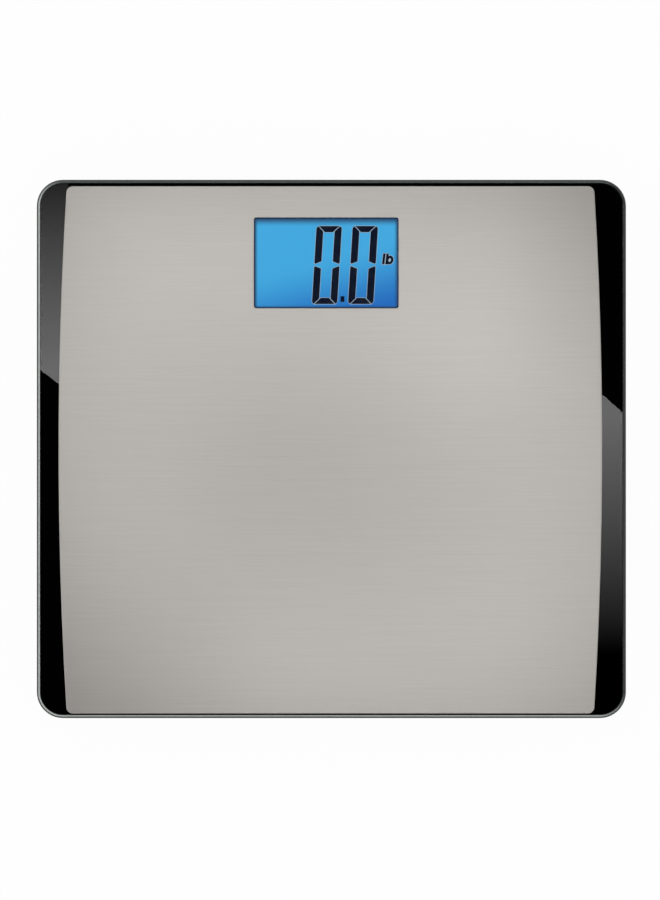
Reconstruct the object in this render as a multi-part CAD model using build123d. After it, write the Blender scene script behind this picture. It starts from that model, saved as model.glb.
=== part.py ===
from build123d import *
import math
import os

# Digital bathroom scale: a brushed steel plate on black-backed glass, over a plastic base with four
# load-cell feet. Millimetres, +Z up. The origin is on the floor under the middle of the platform.
# +X is to the right of a person who stands on it facing the display, and +Y runs towards the display.

# Glass platform
GLASS_WIDTH = 406.0
GLASS_DEPTH = 371.0
GLASS_THICK = 6.0
GLASS_CORNER = 18.0
GLASS_EDGE_ROUND = 2.5
GLASS_EDGE_SHARE = 0.45  # of the thickness, at most, on each side
PRINT_THICK = 0.15
PRINT_BORDER = 0.5

# Steel plate on the glass
PLATE_THICK = 0.8
PLATE_MARGIN_REAR = 4.6
PLATE_MARGIN_FRONT = 3.4
PLATE_MARGIN_LEFT = 15.1
PLATE_MARGIN_RIGHT = 16.5
PLATE_SIDE_BOW = 5.6
PLATE_CORNER = 4.5
PLATE_EDGE_ROUND = 0.5
FILM_THICK = 0.2
FILM_INSET = 1.0

# Display window, cut through the plate
WINDOW_WIDTH = 99.6
WINDOW_DEPTH = 62.4
WINDOW_CORNER = 1.6
WINDOW_X = -3.5
WINDOW_FROM_PLATE_REAR = 21.5

# Plastic base: a tray below and a frame above, screwed together
GROUND_CLEARANCE = 11.0
BASE_INSET = 12.0
BASE_CORNER = 22.0
BASE_DRAFT = 8.0
BASE_WALL = 2.5
BASE_FLOOR = 2.5
BASE_EDGE_ROUND = 5.0
FRAME_THICK = 2.0
SKIRT_THICK = 1.5
SKIRT_DEPTH = 3.0
SKIRT_GAP = 0.3
RIB_THICK = 1.6
RIB_X = 108.0
RIB_Y = 54.0
LABEL_WIDTH = 78.0
LABEL_DEPTH = 34.0
LABEL_RECESS = 0.4
LABEL_FROM_BAY = 22.0

# Bonding tape between frame and glass
TAPE_THICK = 0.85
TAPE_INSET = 4.0
TAPE_WIDTH = 14.0
TAPE_PAD_RADIUS = 18.0

# Feet and load cells
FOOT_EDGE_GAP = 9.5
FOOT_TRAVEL = 0.6
CUP_RIM = 1.3
CUP_GAP = 2.0
CUP_EDGE_ROUND = 1.5
PAD_RADIUS = 22.5
PAD_THICK = 2.4
PAD_PROUD = 1.2
PAD_EDGE_ROUND = 0.7
PAD_GROOVE_DEPTH = 0.6
PAD_GROOVE_WIDTH = 1.6
PAD_GROOVES = (8.0, 12.5, 17.0)
PAD_FIT = 0.2
NECK_RADIUS = 16.0
NECK_GAP = 0.5
FLANGE_LAP = 3.5
FLANGE_THICK = 2.0
FLANGE_GAP = 0.3
FLANGE_SIDE_GAP = 1.0
PLUNGER_TIP_RADIUS = 5.0
PLUNGER_TIP_HEIGHT = 3.2
PLUNGER_TIP_ROUND = 0.8
RETAINER_LIP = 3.0
RETAINER_RIM = 0.6
RETAINER_FIT = 0.3
RETAINER_POST_RADIUS = 4.0
WELL_WALL = 2.5
WELL_CEILING = 3.0
COLUMN_HEIGHT = 4.0
COLUMN_THICK = 3.0
CELL_SIDE = 38.0
CELL_CORNER = 5.0
CELL_THICK = 2.5
CELL_FRAME = 7.0
CELL_SLOT = 2.0
CELL_SIDE_GAP = 2.1
CELL_FLEX_AIR = 0.6
GAUGE_LENGTH = 6.0
GAUGE_WIDTH = 3.0
GAUGE_THICK = 0.4
GAUGE_PITCH = 7.2
TERMINAL_LENGTH = 3.5
TERMINAL_WIDTH = 6.0

# Self-tapping screws: large ones in the base and feet, small ones in the boards
SCREW_RADIUS = 1.5
SCREW_HEAD_RADIUS = 3.1
SMALL_SCREW_RADIUS = 1.2
SMALL_SCREW_HEAD_RADIUS = 2.5
SCREW_HEAD_HEIGHT = 2.2
SCREW_HEAD_ROUND = 1.0
SCREW_POINT = 0.8
SCREW_POINT_ROOM = 0.8
SCREW_CROSS_LENGTH = 3.2
SCREW_CROSS_WIDTH = 0.8
SCREW_CROSS_DEPTH = 1.2
SCREW_RECESS = 0.6
SCREW_SLACK = 0.35
SCREW_FIT = 0.05
BASE_SCREW_BITE = 5.8
BASE_SCREW_INSET = 16.0
BASE_SCREW_X = 85.0
BASE_SCREW_Y = 55.0
BASE_SCREW_FROM_SWITCH = 12.0
BOSS_RADIUS = 4.5
BOSS_SPLIT = 6.5
RETAINER_SCREW_BITE = 4.8
FOOT_SCREW_BITE = 5.6
BOARD_SCREW_BITE = 3.0
SWITCH_SCREW_BITE = 4.8

# Display stack, hung under the window
GASKET_THICK = 1.2
GASKET_WIDTH = 2.5
LCD_THICK = 2.8
LCD_FRONT_THICK = 1.1
LCD_BORDER_X = 4.0
LCD_BORDER_Y = 3.4
LCD_LEDGE = 3.0
GUIDE_THICK = 3.0
GUIDE_BORDER = 1.0
LED_LENGTH = 4.0
LED_WIDTH = 1.4
LED_COUNT = 4
HOLDER_WALL = 2.0
HOLDER_GAP = 0.3
HOLDER_EAR = 9.0
HOLDER_EAR_HEIGHT = 4.0
BOARD_THICK = 1.6
BOARD_STANDOFF = 2.75
BOARD_FRONT_LAP = 10.0
CHIP_RADIUS = 7.0
CHIP_HEIGHT = 1.3
CHIP_ROUND = 1.0
COMPONENTS = ((3.2, 1.6, 0.8), (3.2, 1.6, 0.8), (6.0, 3.5, 1.5), (4.0, 4.0, 1.2), (2.0, 1.2, 0.7))
COMPONENT_GAP = 2.5
CONNECTOR_WIDTH = 7.0
CONNECTOR_DEPTH = 5.0
CONNECTOR_HEIGHT = 4.0
CONNECTOR_INSET = 1.0
FLOOR_AIR = 1.0

# Battery bay: four AAA cells side by side, under a hinged door
BATTERY_RADIUS = 5.25
BATTERY_LENGTH = 44.5
BATTERY_NUB_RADIUS = 1.9
BATTERY_NUB_HEIGHT = 0.8
BATTERY_EDGE_ROUND = 0.5
BATTERY_COUNT = 4
BATTERY_GAP = 0.3
TROUGH_GAP = 0.2
TROUGH_WALL = 1.1
BAY_Y = 0.0
BAY_WALL = 1.4
BAY_SIDE = 2.0
BAY_ROOF = 2.0
BAY_AIR = 1.0
CONTACT_THICK = 0.4
CONTACT_HEIGHT = 8.0
CONTACT_WIDTH = 8.0
SPRING_REACH = 5.7
SPRING_HEIGHT = 4.0
SPRING_TIP_WIDTH = 3.0
DOOR_THICK = 2.0
DOOR_LAP = 1.75
DOOR_GAP = 0.3
DOOR_BARREL = 2.4
DOOR_PIN_RADIUS = 1.2
DOOR_PIN_LENGTH = 3.0
DOOR_PIN_FIT = 0.05
DOOR_GRIP_COUNT = 4
DOOR_GRIP_PITCH = 2.5
DOOR_GRIP_WIDTH = 1.2
DOOR_GRIP_DEPTH = 0.5
DOOR_GRIP_INSET = 4.0
LATCH_WIDTH = 12.0
LATCH_THICK = 1.2
LATCH_HEIGHT = 5.5
LATCH_THROAT = 1.6
LATCH_NOSE = 0.8
LATCH_ROOM = 0.6
LATCH_ROUND = 0.9
FINGER_NOTCH_RADIUS = 9.0
FINGER_NOTCH_DEPTH = 1.4

# Unit button and its switch
BUTTON_FROM_BAY = 19.5
BUTTON_RADIUS = 5.0
BUTTON_GAP = 0.25
BUTTON_PROUD = 0.3
BUTTON_ROUND = 0.3
BUTTON_FLANGE_LAP = 1.5
BUTTON_FLANGE_THICK = 1.2
BUTTON_STEM_RADIUS = 2.0
BUTTON_STEM_HEIGHT = 2.8
BUTTON_TRAVEL = 0.5
SWITCH_SIDE = 6.0
SWITCH_HEIGHT = 3.5
SWITCH_AIR = 0.9
SWITCH_PLUNGER_RADIUS = 1.7
SWITCH_PLUNGER_FIT = 0.05
SWITCH_PLUNGER_BITE = 1.1
SWITCH_BOARD_WIDTH = 27.0
SWITCH_BOARD_DEPTH = 14.0
SWITCH_BOARD_THICK = 1.2
SWITCH_POST_RADIUS = 2.4
SWITCH_POST_INSET = 3.5

# Leads from the load cells, battery and button to the main board
LEAD_RADIUS = 1.1
LEAD_BEND = 20.0
LEAD_BEND_SHARE = 0.45
LEAD_HOLE_GAP = 0.3
LEAD_CELL_AIR = 0.1
LEAD_LANE_X = 92.0
LEAD_REAR_PLUG_X = 40.0
LEAD_FRONT_PLUG_X = 26.0
LEAD_BATTERY_PLUG_X = 5.0
LEAD_BUTTON_PLUG_X = 16.0
LANE_BATTERY = 1
LANE_BUTTON = 2
LANE_FRONT_CELL = 3
LANE_REAR_CELL = 4
LANE_COUNT = 4

FEET = {"front_left": (-1, -1), "front_right": (1, -1), "rear_left": (-1, 1), "rear_right": (1, 1)}
PAST = 1.0  # how far a cutting tool runs past the face that it opens

# Heights, from the floor up through a foot
z_base = GROUND_CLEARANCE
z_floor = z_base + BASE_FLOOR
z_cup_top = z_base - CUP_GAP
z_lip = z_base + RETAINER_LIP
z_flange = z_lip + FLANGE_GAP
z_flange_top = z_flange + FLANGE_THICK
z_cell = z_flange_top + PLUNGER_TIP_HEIGHT
z_well = z_cell + CELL_THICK
z_well_top = z_well + WELL_CEILING
z_lead = z_cell - LEAD_CELL_AIR - LEAD_RADIUS
z_rib = z_lead - LEAD_RADIUS

# Heights in the battery bay
z_door = z_base + DOOR_THICK
z_battery = z_door + BATTERY_GAP + BATTERY_RADIUS
z_bay_top = z_battery + BATTERY_RADIUS + TROUGH_GAP + BAY_ROOF
z_hinge = z_base + DOOR_BARREL

# Heights in the button's switch
z_button = z_base - BUTTON_PROUD
z_stem = z_floor + BUTTON_FLANGE_THICK
z_stem_top = z_stem + BUTTON_STEM_HEIGHT
z_switch = z_stem_top + SWITCH_AIR
z_switch_board = z_switch + SWITCH_HEIGHT
z_switch_board_top = z_switch_board + SWITCH_BOARD_THICK

# The tallest of what the base holds sets the height of the frame
display_stack = GASKET_THICK + LCD_THICK + GUIDE_THICK + BOARD_STANDOFF + BOARD_THICK + CONNECTOR_HEIGHT
z_frame = max(
    z_well_top + COLUMN_HEIGHT,
    z_bay_top + BAY_AIR,
    z_floor + FLOOR_AIR + display_stack - FRAME_THICK - TAPE_THICK,
)
z_frame_top = z_frame + FRAME_THICK
z_print = z_frame_top + TAPE_THICK
z_glass = z_print + PRINT_THICK
z_film = z_glass + GLASS_THICK
z_plate = z_film + FILM_THICK
z_top = z_plate + PLATE_THICK

# Heights in the display, from the print down
z_lcd_front = z_print - GASKET_THICK
z_lcd_ledge = z_lcd_front - LCD_FRONT_THICK
z_lcd_back = z_lcd_front - LCD_THICK
z_guide = z_lcd_back - GUIDE_THICK
z_board_top = z_guide - BOARD_STANDOFF
z_board = z_board_top - BOARD_THICK
z_connector = z_board - CONNECTOR_HEIGHT

# Places across the platform
plate_left = PLATE_MARGIN_LEFT - GLASS_WIDTH / 2
plate_right = GLASS_WIDTH / 2 - PLATE_MARGIN_RIGHT
plate_front = PLATE_MARGIN_FRONT - GLASS_DEPTH / 2
plate_rear = GLASS_DEPTH / 2 - PLATE_MARGIN_REAR
window_y = plate_rear - WINDOW_FROM_PLATE_REAR - WINDOW_DEPTH / 2
base_half_x = GLASS_WIDTH / 2 - BASE_INSET
base_half_y = GLASS_DEPTH / 2 - BASE_INSET
retainer_post = CELL_SIDE / 2 + CELL_SIDE_GAP + RETAINER_POST_RADIUS
retainer_radius = retainer_post + RETAINER_POST_RADIUS + RETAINER_RIM
well_radius = retainer_radius + RETAINER_FIT
well_outer = well_radius + WELL_WALL
foot_x = base_half_x - FOOT_EDGE_GAP - well_outer
foot_y = base_half_y - FOOT_EDGE_GAP - well_outer
cup_radius = PAD_RADIUS + PAD_FIT + CUP_RIM
flange_radius = NECK_RADIUS + FLANGE_LAP
skirt_bore = flange_radius + FLANGE_SIDE_GAP
glass_edge_round = min(GLASS_EDGE_ROUND, GLASS_EDGE_SHARE * GLASS_THICK)

# Places in the display stack
lcd_width = WINDOW_WIDTH + 2 * LCD_BORDER_X
lcd_depth = WINDOW_DEPTH + 2 * LCD_BORDER_Y
holder_half_x = lcd_width / 2 + HOLDER_GAP + HOLDER_WALL
holder_half_y = lcd_depth / 2 + HOLDER_GAP + HOLDER_WALL
ear_x = holder_half_x + HOLDER_EAR / 2
ear_y = holder_half_y - HOLDER_EAR / 2
board_front = window_y - holder_half_y - BOARD_FRONT_LAP
lead_end_y = board_front + CONNECTOR_INSET

# Places in the battery bay
battery_pitch = 2 * (BATTERY_RADIUS + TROUGH_GAP) + TROUGH_WALL
battery_xs = [(i - (BATTERY_COUNT - 1) / 2) * battery_pitch for i in range(BATTERY_COUNT)]
cavity_half_x = battery_xs[-1] + BATTERY_RADIUS + TROUGH_GAP
cavity_half_y = (BATTERY_LENGTH + SPRING_REACH + 2 * CONTACT_THICK) / 2
door_half_x = cavity_half_x + DOOR_LAP
hinge_y = BAY_Y + cavity_half_y + BAY_WALL + DOOR_GAP + DOOR_BARREL
latch_inner_y = BAY_Y - cavity_half_y - BAY_WALL - LATCH_ROOM
latch_outer_y = latch_inner_y - 2 * LATCH_THICK - LATCH_THROAT
door_front_y = latch_outer_y
bay_front_y = latch_outer_y - LATCH_NOSE - LATCH_ROOM - BAY_WALL
bay_rear_y = hinge_y + DOOR_BARREL + DOOR_GAP + BAY_WALL
bay_half_x = door_half_x + DOOR_GAP + DOOR_PIN_LENGTH + BAY_SIDE
button_x = bay_half_x + BUTTON_FROM_BAY
inner_screw_x = button_x + SWITCH_BOARD_WIDTH / 2 + BASE_SCREW_FROM_SWITCH

base_screw_places = [
    *[(sx * BASE_SCREW_X, sy * (base_half_y - BASE_SCREW_INSET)) for sx in (-1, 1) for sy in (-1, 1)],
    *[(sx * (base_half_x - BASE_SCREW_INSET), sy * BASE_SCREW_Y) for sx in (-1, 1) for sy in (-1, 1)],
    *[(sx * inner_screw_x, BAY_Y) for sx in (-1, 1)],
]
z_boss = z_floor + BOSS_SPLIT
z_base_screw = z_base + SCREW_RECESS + SCREW_HEAD_HEIGHT
z_base_screw_tip = z_boss + BASE_SCREW_BITE
z_retainer_screw = z_base + SCREW_RECESS + SCREW_HEAD_HEIGHT
z_retainer_screw_tip = z_well + RETAINER_SCREW_BITE
z_foot_screw = PAD_THICK + SCREW_HEAD_HEIGHT
z_foot_screw_tip = z_cup_top + FOOT_SCREW_BITE
z_ear_top = z_board_top + HOLDER_EAR_HEIGHT
z_board_screw_tip = z_ear_top + BOARD_SCREW_BITE
z_switch_screw_tip = z_switch_board - SWITCH_SCREW_BITE
ear_places = [(WINDOW_X + sx * ear_x, window_y + sy * ear_y) for sx in (-1, 1) for sy in (-1, 1)]
switch_post = SWITCH_BOARD_WIDTH / 2 - SWITCH_POST_INSET
switch_post_places = [(button_x + side * switch_post, BAY_Y) for side in (-1, 1)]


# Shapes that several pieces share


def block(x0, x1, y0, y1, z0, z1):
    """A box between two corners."""
    return Pos((x0 + x1) / 2, (y0 + y1) / 2, (z0 + z1) / 2) * Box(x1 - x0, y1 - y0, z1 - z0)


def post(x, y, z0, z1, radius):
    """An upright cylinder."""
    return Pos(x, y, (z0 + z1) / 2) * Cylinder(radius, z1 - z0)


def rod(axis, x, y, z, length, radius):
    """A lying cylinder along X or Y, centred on a point."""
    turn = Rot(0, 90, 0) if axis == "x" else Rot(90, 0, 0)
    return Pos(x, y, z) * turn * Cylinder(radius, length)


def slab(outline, z0, z1):
    """A flat outline drawn up from z0 to z1."""
    return extrude(Pos(0, 0, z0) * outline, amount=z1 - z0)


def window(grow, corner):
    """The display window's outline, grown by a margin on every side."""
    sheet = RectangleRounded(WINDOW_WIDTH + 2 * grow, WINDOW_DEPTH + 2 * grow, corner)
    return Pos(WINDOW_X, window_y) * sheet


def around_display(half_x, half_y, z0, z1):
    """A box centred on the display."""
    return block(WINDOW_X - half_x, WINDOW_X + half_x, window_y - half_y, window_y + half_y, z0, z1)


def display_opening(z0, z1):
    """Room for the display's holder through the frame and the tape."""
    return around_display(holder_half_x + HOLDER_GAP, holder_half_y + HOLDER_GAP, z0, z1)


def glass_outline(inset):
    corner = GLASS_CORNER - inset
    return RectangleRounded(GLASS_WIDTH - 2 * inset, GLASS_DEPTH - 2 * inset, corner)


def base_outline(inset):
    corner = max(BASE_CORNER - inset, 1.0)
    return RectangleRounded(2 * (base_half_x - inset), 2 * (base_half_y - inset), corner)


def plate_outline(inset, corner):
    """The steel plate's outline: straight at the front and rear, bowed out at the two sides."""
    front_y = plate_front + inset
    rear_y = plate_rear - inset
    middle_y = (front_y + rear_y) / 2
    left_x = plate_left + inset
    right_x = plate_right - inset
    left_corner_x = left_x + PLATE_SIDE_BOW
    right_corner_x = right_x - PLATE_SIDE_BOW
    right = ThreePointArc((right_corner_x, front_y), (right_x, middle_y), (right_corner_x, rear_y))
    rear = Line((right_corner_x, rear_y), (left_corner_x, rear_y))
    left = ThreePointArc((left_corner_x, rear_y), (left_x, middle_y), (left_corner_x, front_y))
    front = Line((left_corner_x, front_y), (right_corner_x, front_y))
    face = make_face(Curve() + [right, rear, left, front])
    return fillet(face.vertices(), corner)


def screw(x, y, z_seat, z_tip, radius=SCREW_RADIUS, head_radius=SCREW_HEAD_RADIUS):
    """A pan-head screw with a cross slot. It runs from under its head at z_seat to its point at z_tip."""
    up = 1 if z_tip > z_seat else -1
    z_crown = z_seat - up * SCREW_HEAD_HEIGHT
    head = post(x, y, *sorted((z_crown, z_seat)), head_radius)
    head = fillet(head.edges().group_by(Axis.Z)[0 if up > 0 else -1], SCREW_HEAD_ROUND)
    shank = post(x, y, *sorted((z_seat, z_tip)), radius)
    shank = chamfer(shank.edges().group_by(Axis.Z)[-1 if up > 0 else 0], SCREW_POINT)
    half, wide = SCREW_CROSS_LENGTH / 2, SCREW_CROSS_WIDTH / 2
    slot_z = sorted((z_crown - up * PAST, z_crown + up * SCREW_CROSS_DEPTH))
    cross = block(x - half, x + half, y - wide, y + wide, *slot_z)
    cross += block(x - wide, x + wide, y - half, y + half, *slot_z)
    return head + shank - cross


def small_screw(x, y, z_seat, z_tip):
    return screw(x, y, z_seat, z_tip, SMALL_SCREW_RADIUS, SMALL_SCREW_HEAD_RADIUS)


def lane_y(lane):
    """Where a lead crosses the base: the lanes are spread evenly from the battery bay to the plugs."""
    return bay_rear_y + lane * (lead_end_y - bay_rear_y) / (LANE_COUNT + 1)


def lead(points):
    """A round lead at the height of the ribs' tops: straight runs joined by the widest bends that fit."""
    runs = [math.dist(here, there) for here, there in zip(points, points[1:])]
    bends = [min(LEAD_BEND, LEAD_BEND_SHARE * min(pair)) for pair in zip(runs, runs[1:])]
    path = FilletPolyline(*[(x, y, z_lead) for x, y in points], radius=bends)
    section = Plane(origin=path @ 0, z_dir=path % 0) * Circle(LEAD_RADIUS)
    cord = sweep(section, path)
    share = cord.volume / (math.pi * LEAD_RADIUS**2 * path.length)
    radii = [round(b, 1) for b in bends]
    print("lead length", round(path.length, 1), "bends", radii, "volume share", round(share, 4))
    return cord


def feet_places():
    """Each foot's name, the signs of its corner, and its place."""
    return [(name, sx, sy, sx * foot_x, sy * foot_y) for name, (sx, sy) in FEET.items()]


def retainer_screw_places(x, y):
    return [(x, y + side * retainer_post) for side in (-1, 1)]


# Platform: steel, film, glass, print and tape


def steel_platform():
    sheet = slab(plate_outline(0, PLATE_CORNER) - window(0, WINDOW_CORNER), z_plate, z_top)
    return fillet(sheet.edges().group_by(Axis.Z)[-1], PLATE_EDGE_ROUND)


def plate_film():
    outline = plate_outline(FILM_INSET, PLATE_CORNER) - window(FILM_INSET, WINDOW_CORNER)
    return slab(outline, z_film, z_plate)


def glass_platform():
    sheet = slab(glass_outline(0), z_glass, z_film)
    levels = sheet.edges().group_by(Axis.Z)
    return fillet(levels[0] + levels[-1], glass_edge_round)


def black_print():
    clear = window(-PRINT_BORDER, WINDOW_CORNER)
    return slab(glass_outline(glass_edge_round) - clear, z_print, z_glass)


def bonding_tape():
    ring = slab(base_outline(TAPE_INSET) - base_outline(TAPE_INSET + TAPE_WIDTH), z_frame_top, z_print)
    pieces = [ring - display_opening(z_frame_top - PAST, z_print + PAST)]
    pieces += [post(x, y, z_frame_top, z_print, TAPE_PAD_RADIUS) for _, _, _, x, y in feet_places()]
    return pieces


# Base: frame above, tray below


def upper_frame():
    frame = slab(base_outline(0), z_frame, z_frame_top)
    skirt_outer = BASE_WALL + SKIRT_GAP + SKIRT_DEPTH * math.tan(math.radians(BASE_DRAFT))
    skirt = base_outline(skirt_outer) - base_outline(skirt_outer + SKIRT_THICK)
    frame += slab(skirt, z_frame - SKIRT_DEPTH, z_frame)
    frame -= display_opening(z_frame - SKIRT_DEPTH - PAST, z_frame_top + PAST)
    for x, y in base_screw_places:
        frame += post(x, y, z_boss, z_frame, BOSS_RADIUS)
    for x, y in ear_places:
        frame += post(x, y, z_ear_top, z_frame, HOLDER_EAR / 2)
        frame -= post(x, y, z_board_top, z_board_screw_tip + SCREW_POINT_ROOM, SMALL_SCREW_RADIUS + SCREW_FIT)
    for x, y in base_screw_places:
        frame -= post(x, y, z_boss - PAST, z_base_screw_tip + SCREW_POINT_ROOM, SCREW_RADIUS + SCREW_FIT)
    return frame


def tray_shell():
    """The tray's outside, solid, and the space inside its walls."""
    lean = (z_frame - z_base) * math.tan(math.radians(BASE_DRAFT))
    outer = loft([Pos(0, 0, z_base) * base_outline(lean), Pos(0, 0, z_frame) * base_outline(0)], ruled=True)
    outer = fillet(outer.edges().group_by(Axis.Z)[0], BASE_EDGE_ROUND)
    lean_in = (z_frame - z_floor) * math.tan(math.radians(BASE_DRAFT))
    low = Pos(0, 0, z_floor) * base_outline(BASE_WALL + lean_in)
    high = Pos(0, 0, z_frame) * base_outline(BASE_WALL)
    return outer, loft([low, high], ruled=True)


def tray_ribs():
    """Stiffening ribs on the tray's floor. The leads lie on their tops."""
    far_x, far_y, half = base_half_x, base_half_y, RIB_THICK / 2
    ribs = [block(-far_x, far_x, s * RIB_Y - half, s * RIB_Y + half, z_base, z_rib) for s in (-1, 1)]
    ribs += [block(s * RIB_X - half, s * RIB_X + half, -far_y, far_y, z_base, z_rib) for s in (-1, 1)]
    return ribs


def tray_wells():
    """Round wells for the feet, with a cross of columns that carries each one's load up to the frame."""
    wells = []
    half = COLUMN_THICK / 2
    for _, _, _, x, y in feet_places():
        wells.append(post(x, y, z_base, z_well_top, well_outer))
        wells.append(block(x - well_outer, x + well_outer, y - half, y + half, z_well, z_frame))
        wells.append(block(x - half, x + half, y - well_outer, y + well_outer, z_well, z_frame))
        for px, py in retainer_screw_places(x, y):
            wells.append(post(px, py, z_well, z_frame, RETAINER_POST_RADIUS))
    return wells


def well_cuts():
    cuts = []
    room = CELL_SIDE / 2 - CELL_FRAME + CELL_SLOT / 2
    flex_top = z_well + FOOT_TRAVEL + CELL_FLEX_AIR
    for _, sx, _, x, y in feet_places():
        cuts.append(post(x, y, z_base - PAST, z_well, well_radius))
        cuts.append(block(x - room, x + room, y - room, y + room, z_well - PAST, flex_top))
        for px, py in retainer_screw_places(x, y):
            tip = z_retainer_screw_tip + SCREW_POINT_ROOM
            cuts.append(post(px, py, z_well - PAST, tip, SCREW_RADIUS + SCREW_FIT))
        wall_x = x - sx * (well_radius + well_outer) / 2
        cuts.append(rod("x", wall_x, y, z_lead, 2 * WELL_WALL, LEAD_RADIUS + LEAD_HOLE_GAP))
    return cuts


def bay_cuts():
    """Room in the bay for the batteries, their contacts, the door, its hinge and its latch."""
    rear, front = BAY_Y + cavity_half_y, BAY_Y - cavity_half_y
    radius = BATTERY_RADIUS + TROUGH_GAP
    cuts = []
    for x in battery_xs:
        cuts.append(block(x - radius, x + radius, front, rear, z_base - PAST, z_battery))
        cuts.append(rod("y", x, BAY_Y, z_battery, 2 * cavity_half_y, radius))
    ends = (front, front + CONTACT_THICK), (rear - CONTACT_THICK, rear)
    low, high = z_battery - CONTACT_HEIGHT / 2, z_battery + CONTACT_HEIGHT / 2
    cuts += [block(-cavity_half_x, cavity_half_x, y0, y1, low, high) for y0, y1 in ends]
    opening_x = door_half_x + DOOR_GAP
    hinge_room = DOOR_BARREL + DOOR_GAP
    cuts.append(block(-opening_x, opening_x, door_front_y - DOOR_GAP, hinge_y, z_base - PAST, z_door))
    hinge_front, hinge_rear = hinge_y - hinge_room, hinge_y + hinge_room
    cuts.append(block(-opening_x, opening_x, hinge_front, hinge_rear, z_base - PAST, z_hinge))
    cuts.append(rod("x", 0, hinge_y, z_hinge, 2 * opening_x, hinge_room))
    pin_reach = 2 * (door_half_x + DOOR_PIN_LENGTH + DOOR_GAP)
    cuts.append(rod("x", 0, hinge_y, z_hinge, pin_reach, DOOR_PIN_RADIUS + DOOR_PIN_FIT))
    half = LATCH_WIDTH / 2 + LATCH_ROOM
    latch_top = z_door + LATCH_HEIGHT + LATCH_ROOM
    nose_y = latch_outer_y - LATCH_NOSE - LATCH_ROOM
    cuts.append(block(-half, half, nose_y, latch_inner_y + LATCH_ROOM, z_floor, latch_top))
    cuts.append(block(-half, half, door_front_y - DOOR_GAP, latch_inner_y + LATCH_ROOM, z_base, latch_top))
    notch = Pos(0, door_front_y - DOOR_GAP, z_base) * Cylinder(FINGER_NOTCH_RADIUS, 2 * FINGER_NOTCH_DEPTH)
    cuts.append(notch)
    wall_y = (rear + bay_rear_y) / 2
    for x in (battery_xs[0], battery_xs[-1]):
        cuts.append(rod("y", x, wall_y, z_lead, bay_rear_y - rear + PAST, LEAD_RADIUS + LEAD_HOLE_GAP))
    return cuts


def base_tray():
    outer, inside = tray_shell()
    features = tray_ribs() + tray_wells()
    features += [post(x, y, z_base, z_boss, BOSS_RADIUS) for x, y in base_screw_places]
    features += [post(x, y, z_base, z_switch_board, SWITCH_POST_RADIUS) for x, y in switch_post_places]
    features.append(block(-bay_half_x, bay_half_x, bay_front_y, bay_rear_y, z_base, z_bay_top))
    tray = outer - inside + (Part() + features & outer)
    cuts = well_cuts() + bay_cuts()
    for x, y in base_screw_places:
        cuts.append(post(x, y, z_base - PAST, z_base_screw, SCREW_HEAD_RADIUS + SCREW_SLACK))
        cuts.append(post(x, y, z_base, z_boss + PAST, SCREW_RADIUS + SCREW_SLACK))
    for x, y in switch_post_places:
        low = z_switch_screw_tip - SCREW_POINT_ROOM
        cuts.append(post(x, y, low, z_switch_board + PAST, SMALL_SCREW_RADIUS + SCREW_FIT))
    cuts.append(post(button_x, BAY_Y, z_base - PAST, z_floor + PAST, BUTTON_RADIUS + BUTTON_GAP))
    label_y = bay_front_y - LABEL_FROM_BAY
    half_x, half_y = LABEL_WIDTH / 2, LABEL_DEPTH / 2
    label_top = z_base + LABEL_RECESS
    cuts.append(block(-half_x, half_x, label_y - half_y, label_y + half_y, z_base - PAST, label_top))
    return tray - cuts


def base_screws():
    return [screw(x, y, z_base_screw, z_base_screw_tip) for x, y in base_screw_places]


# Feet and load cells


def load_cell(x, y):
    """A stamped steel plate. The foot bends its inner tongue, which is joined to the frame at the rear."""
    outline = RectangleRounded(CELL_SIDE, CELL_SIDE, CELL_CORNER)
    hole = CELL_SIDE - 2 * CELL_FRAME
    tongue = hole - 2 * CELL_SLOT
    slot = Rectangle(hole, hole) - Pos(0, CELL_SLOT) * Rectangle(tongue, hole)
    sheet = outline - slot
    return Pos(x, y) * slab(sheet, z_cell, z_cell + CELL_THICK)


def strain_gauges():
    """On each load cell, two foil gauges at the tongue's root and the block where its lead is soldered."""
    pieces = []
    root = CELL_SIDE / 2 - CELL_FRAME - GAUGE_WIDTH
    for _, sx, _, x, y in feet_places():
        for side in (-1, 1):
            middle = x + side * GAUGE_PITCH / 2
            low, high = middle - GAUGE_LENGTH / 2, middle + GAUGE_LENGTH / 2
            pieces.append(block(low, high, y + root, y + root + GAUGE_WIDTH, z_cell - GAUGE_THICK, z_cell))
        far = x - sx * (CELL_SIDE / 2)
        near = far + sx * TERMINAL_LENGTH
        half = TERMINAL_WIDTH / 2
        z_low = z_lead - LEAD_RADIUS
        pieces.append(block(min(far, near), max(far, near), y - half, y + half, z_low, z_cell))
    return pieces


def foot_retainers():
    """Rings screwed into the wells. Each holds its load cell up by the corners and keeps its foot in."""
    rings = []
    for _, sx, _, x, y in feet_places():
        bore, outer = NECK_RADIUS + NECK_GAP, retainer_radius
        lip = post(x, y, z_base, z_lip, outer) - post(x, y, z_base - PAST, z_lip + PAST, bore)
        skirt = post(x, y, z_lip, z_cell, outer) - post(x, y, z_lip - PAST, z_cell + PAST, skirt_bore)
        half = TERMINAL_WIDTH / 2 + LEAD_HOLE_GAP
        notch_x = sorted((x, x - sx * (outer + PAST)))
        skirt -= block(*notch_x, y - half, y + half, z_lip, z_cell + PAST)
        ring = lip + skirt
        for px, py in retainer_screw_places(x, y):
            ring += post(px, py, z_lip, z_well, RETAINER_POST_RADIUS)
        for px, py in retainer_screw_places(x, y):
            ring -= post(px, py, z_base - PAST, z_retainer_screw, SCREW_HEAD_RADIUS + SCREW_SLACK)
            ring -= post(px, py, z_base, z_well + PAST, SCREW_RADIUS + SCREW_SLACK)
        rings.append(ring)
    return rings


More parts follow.
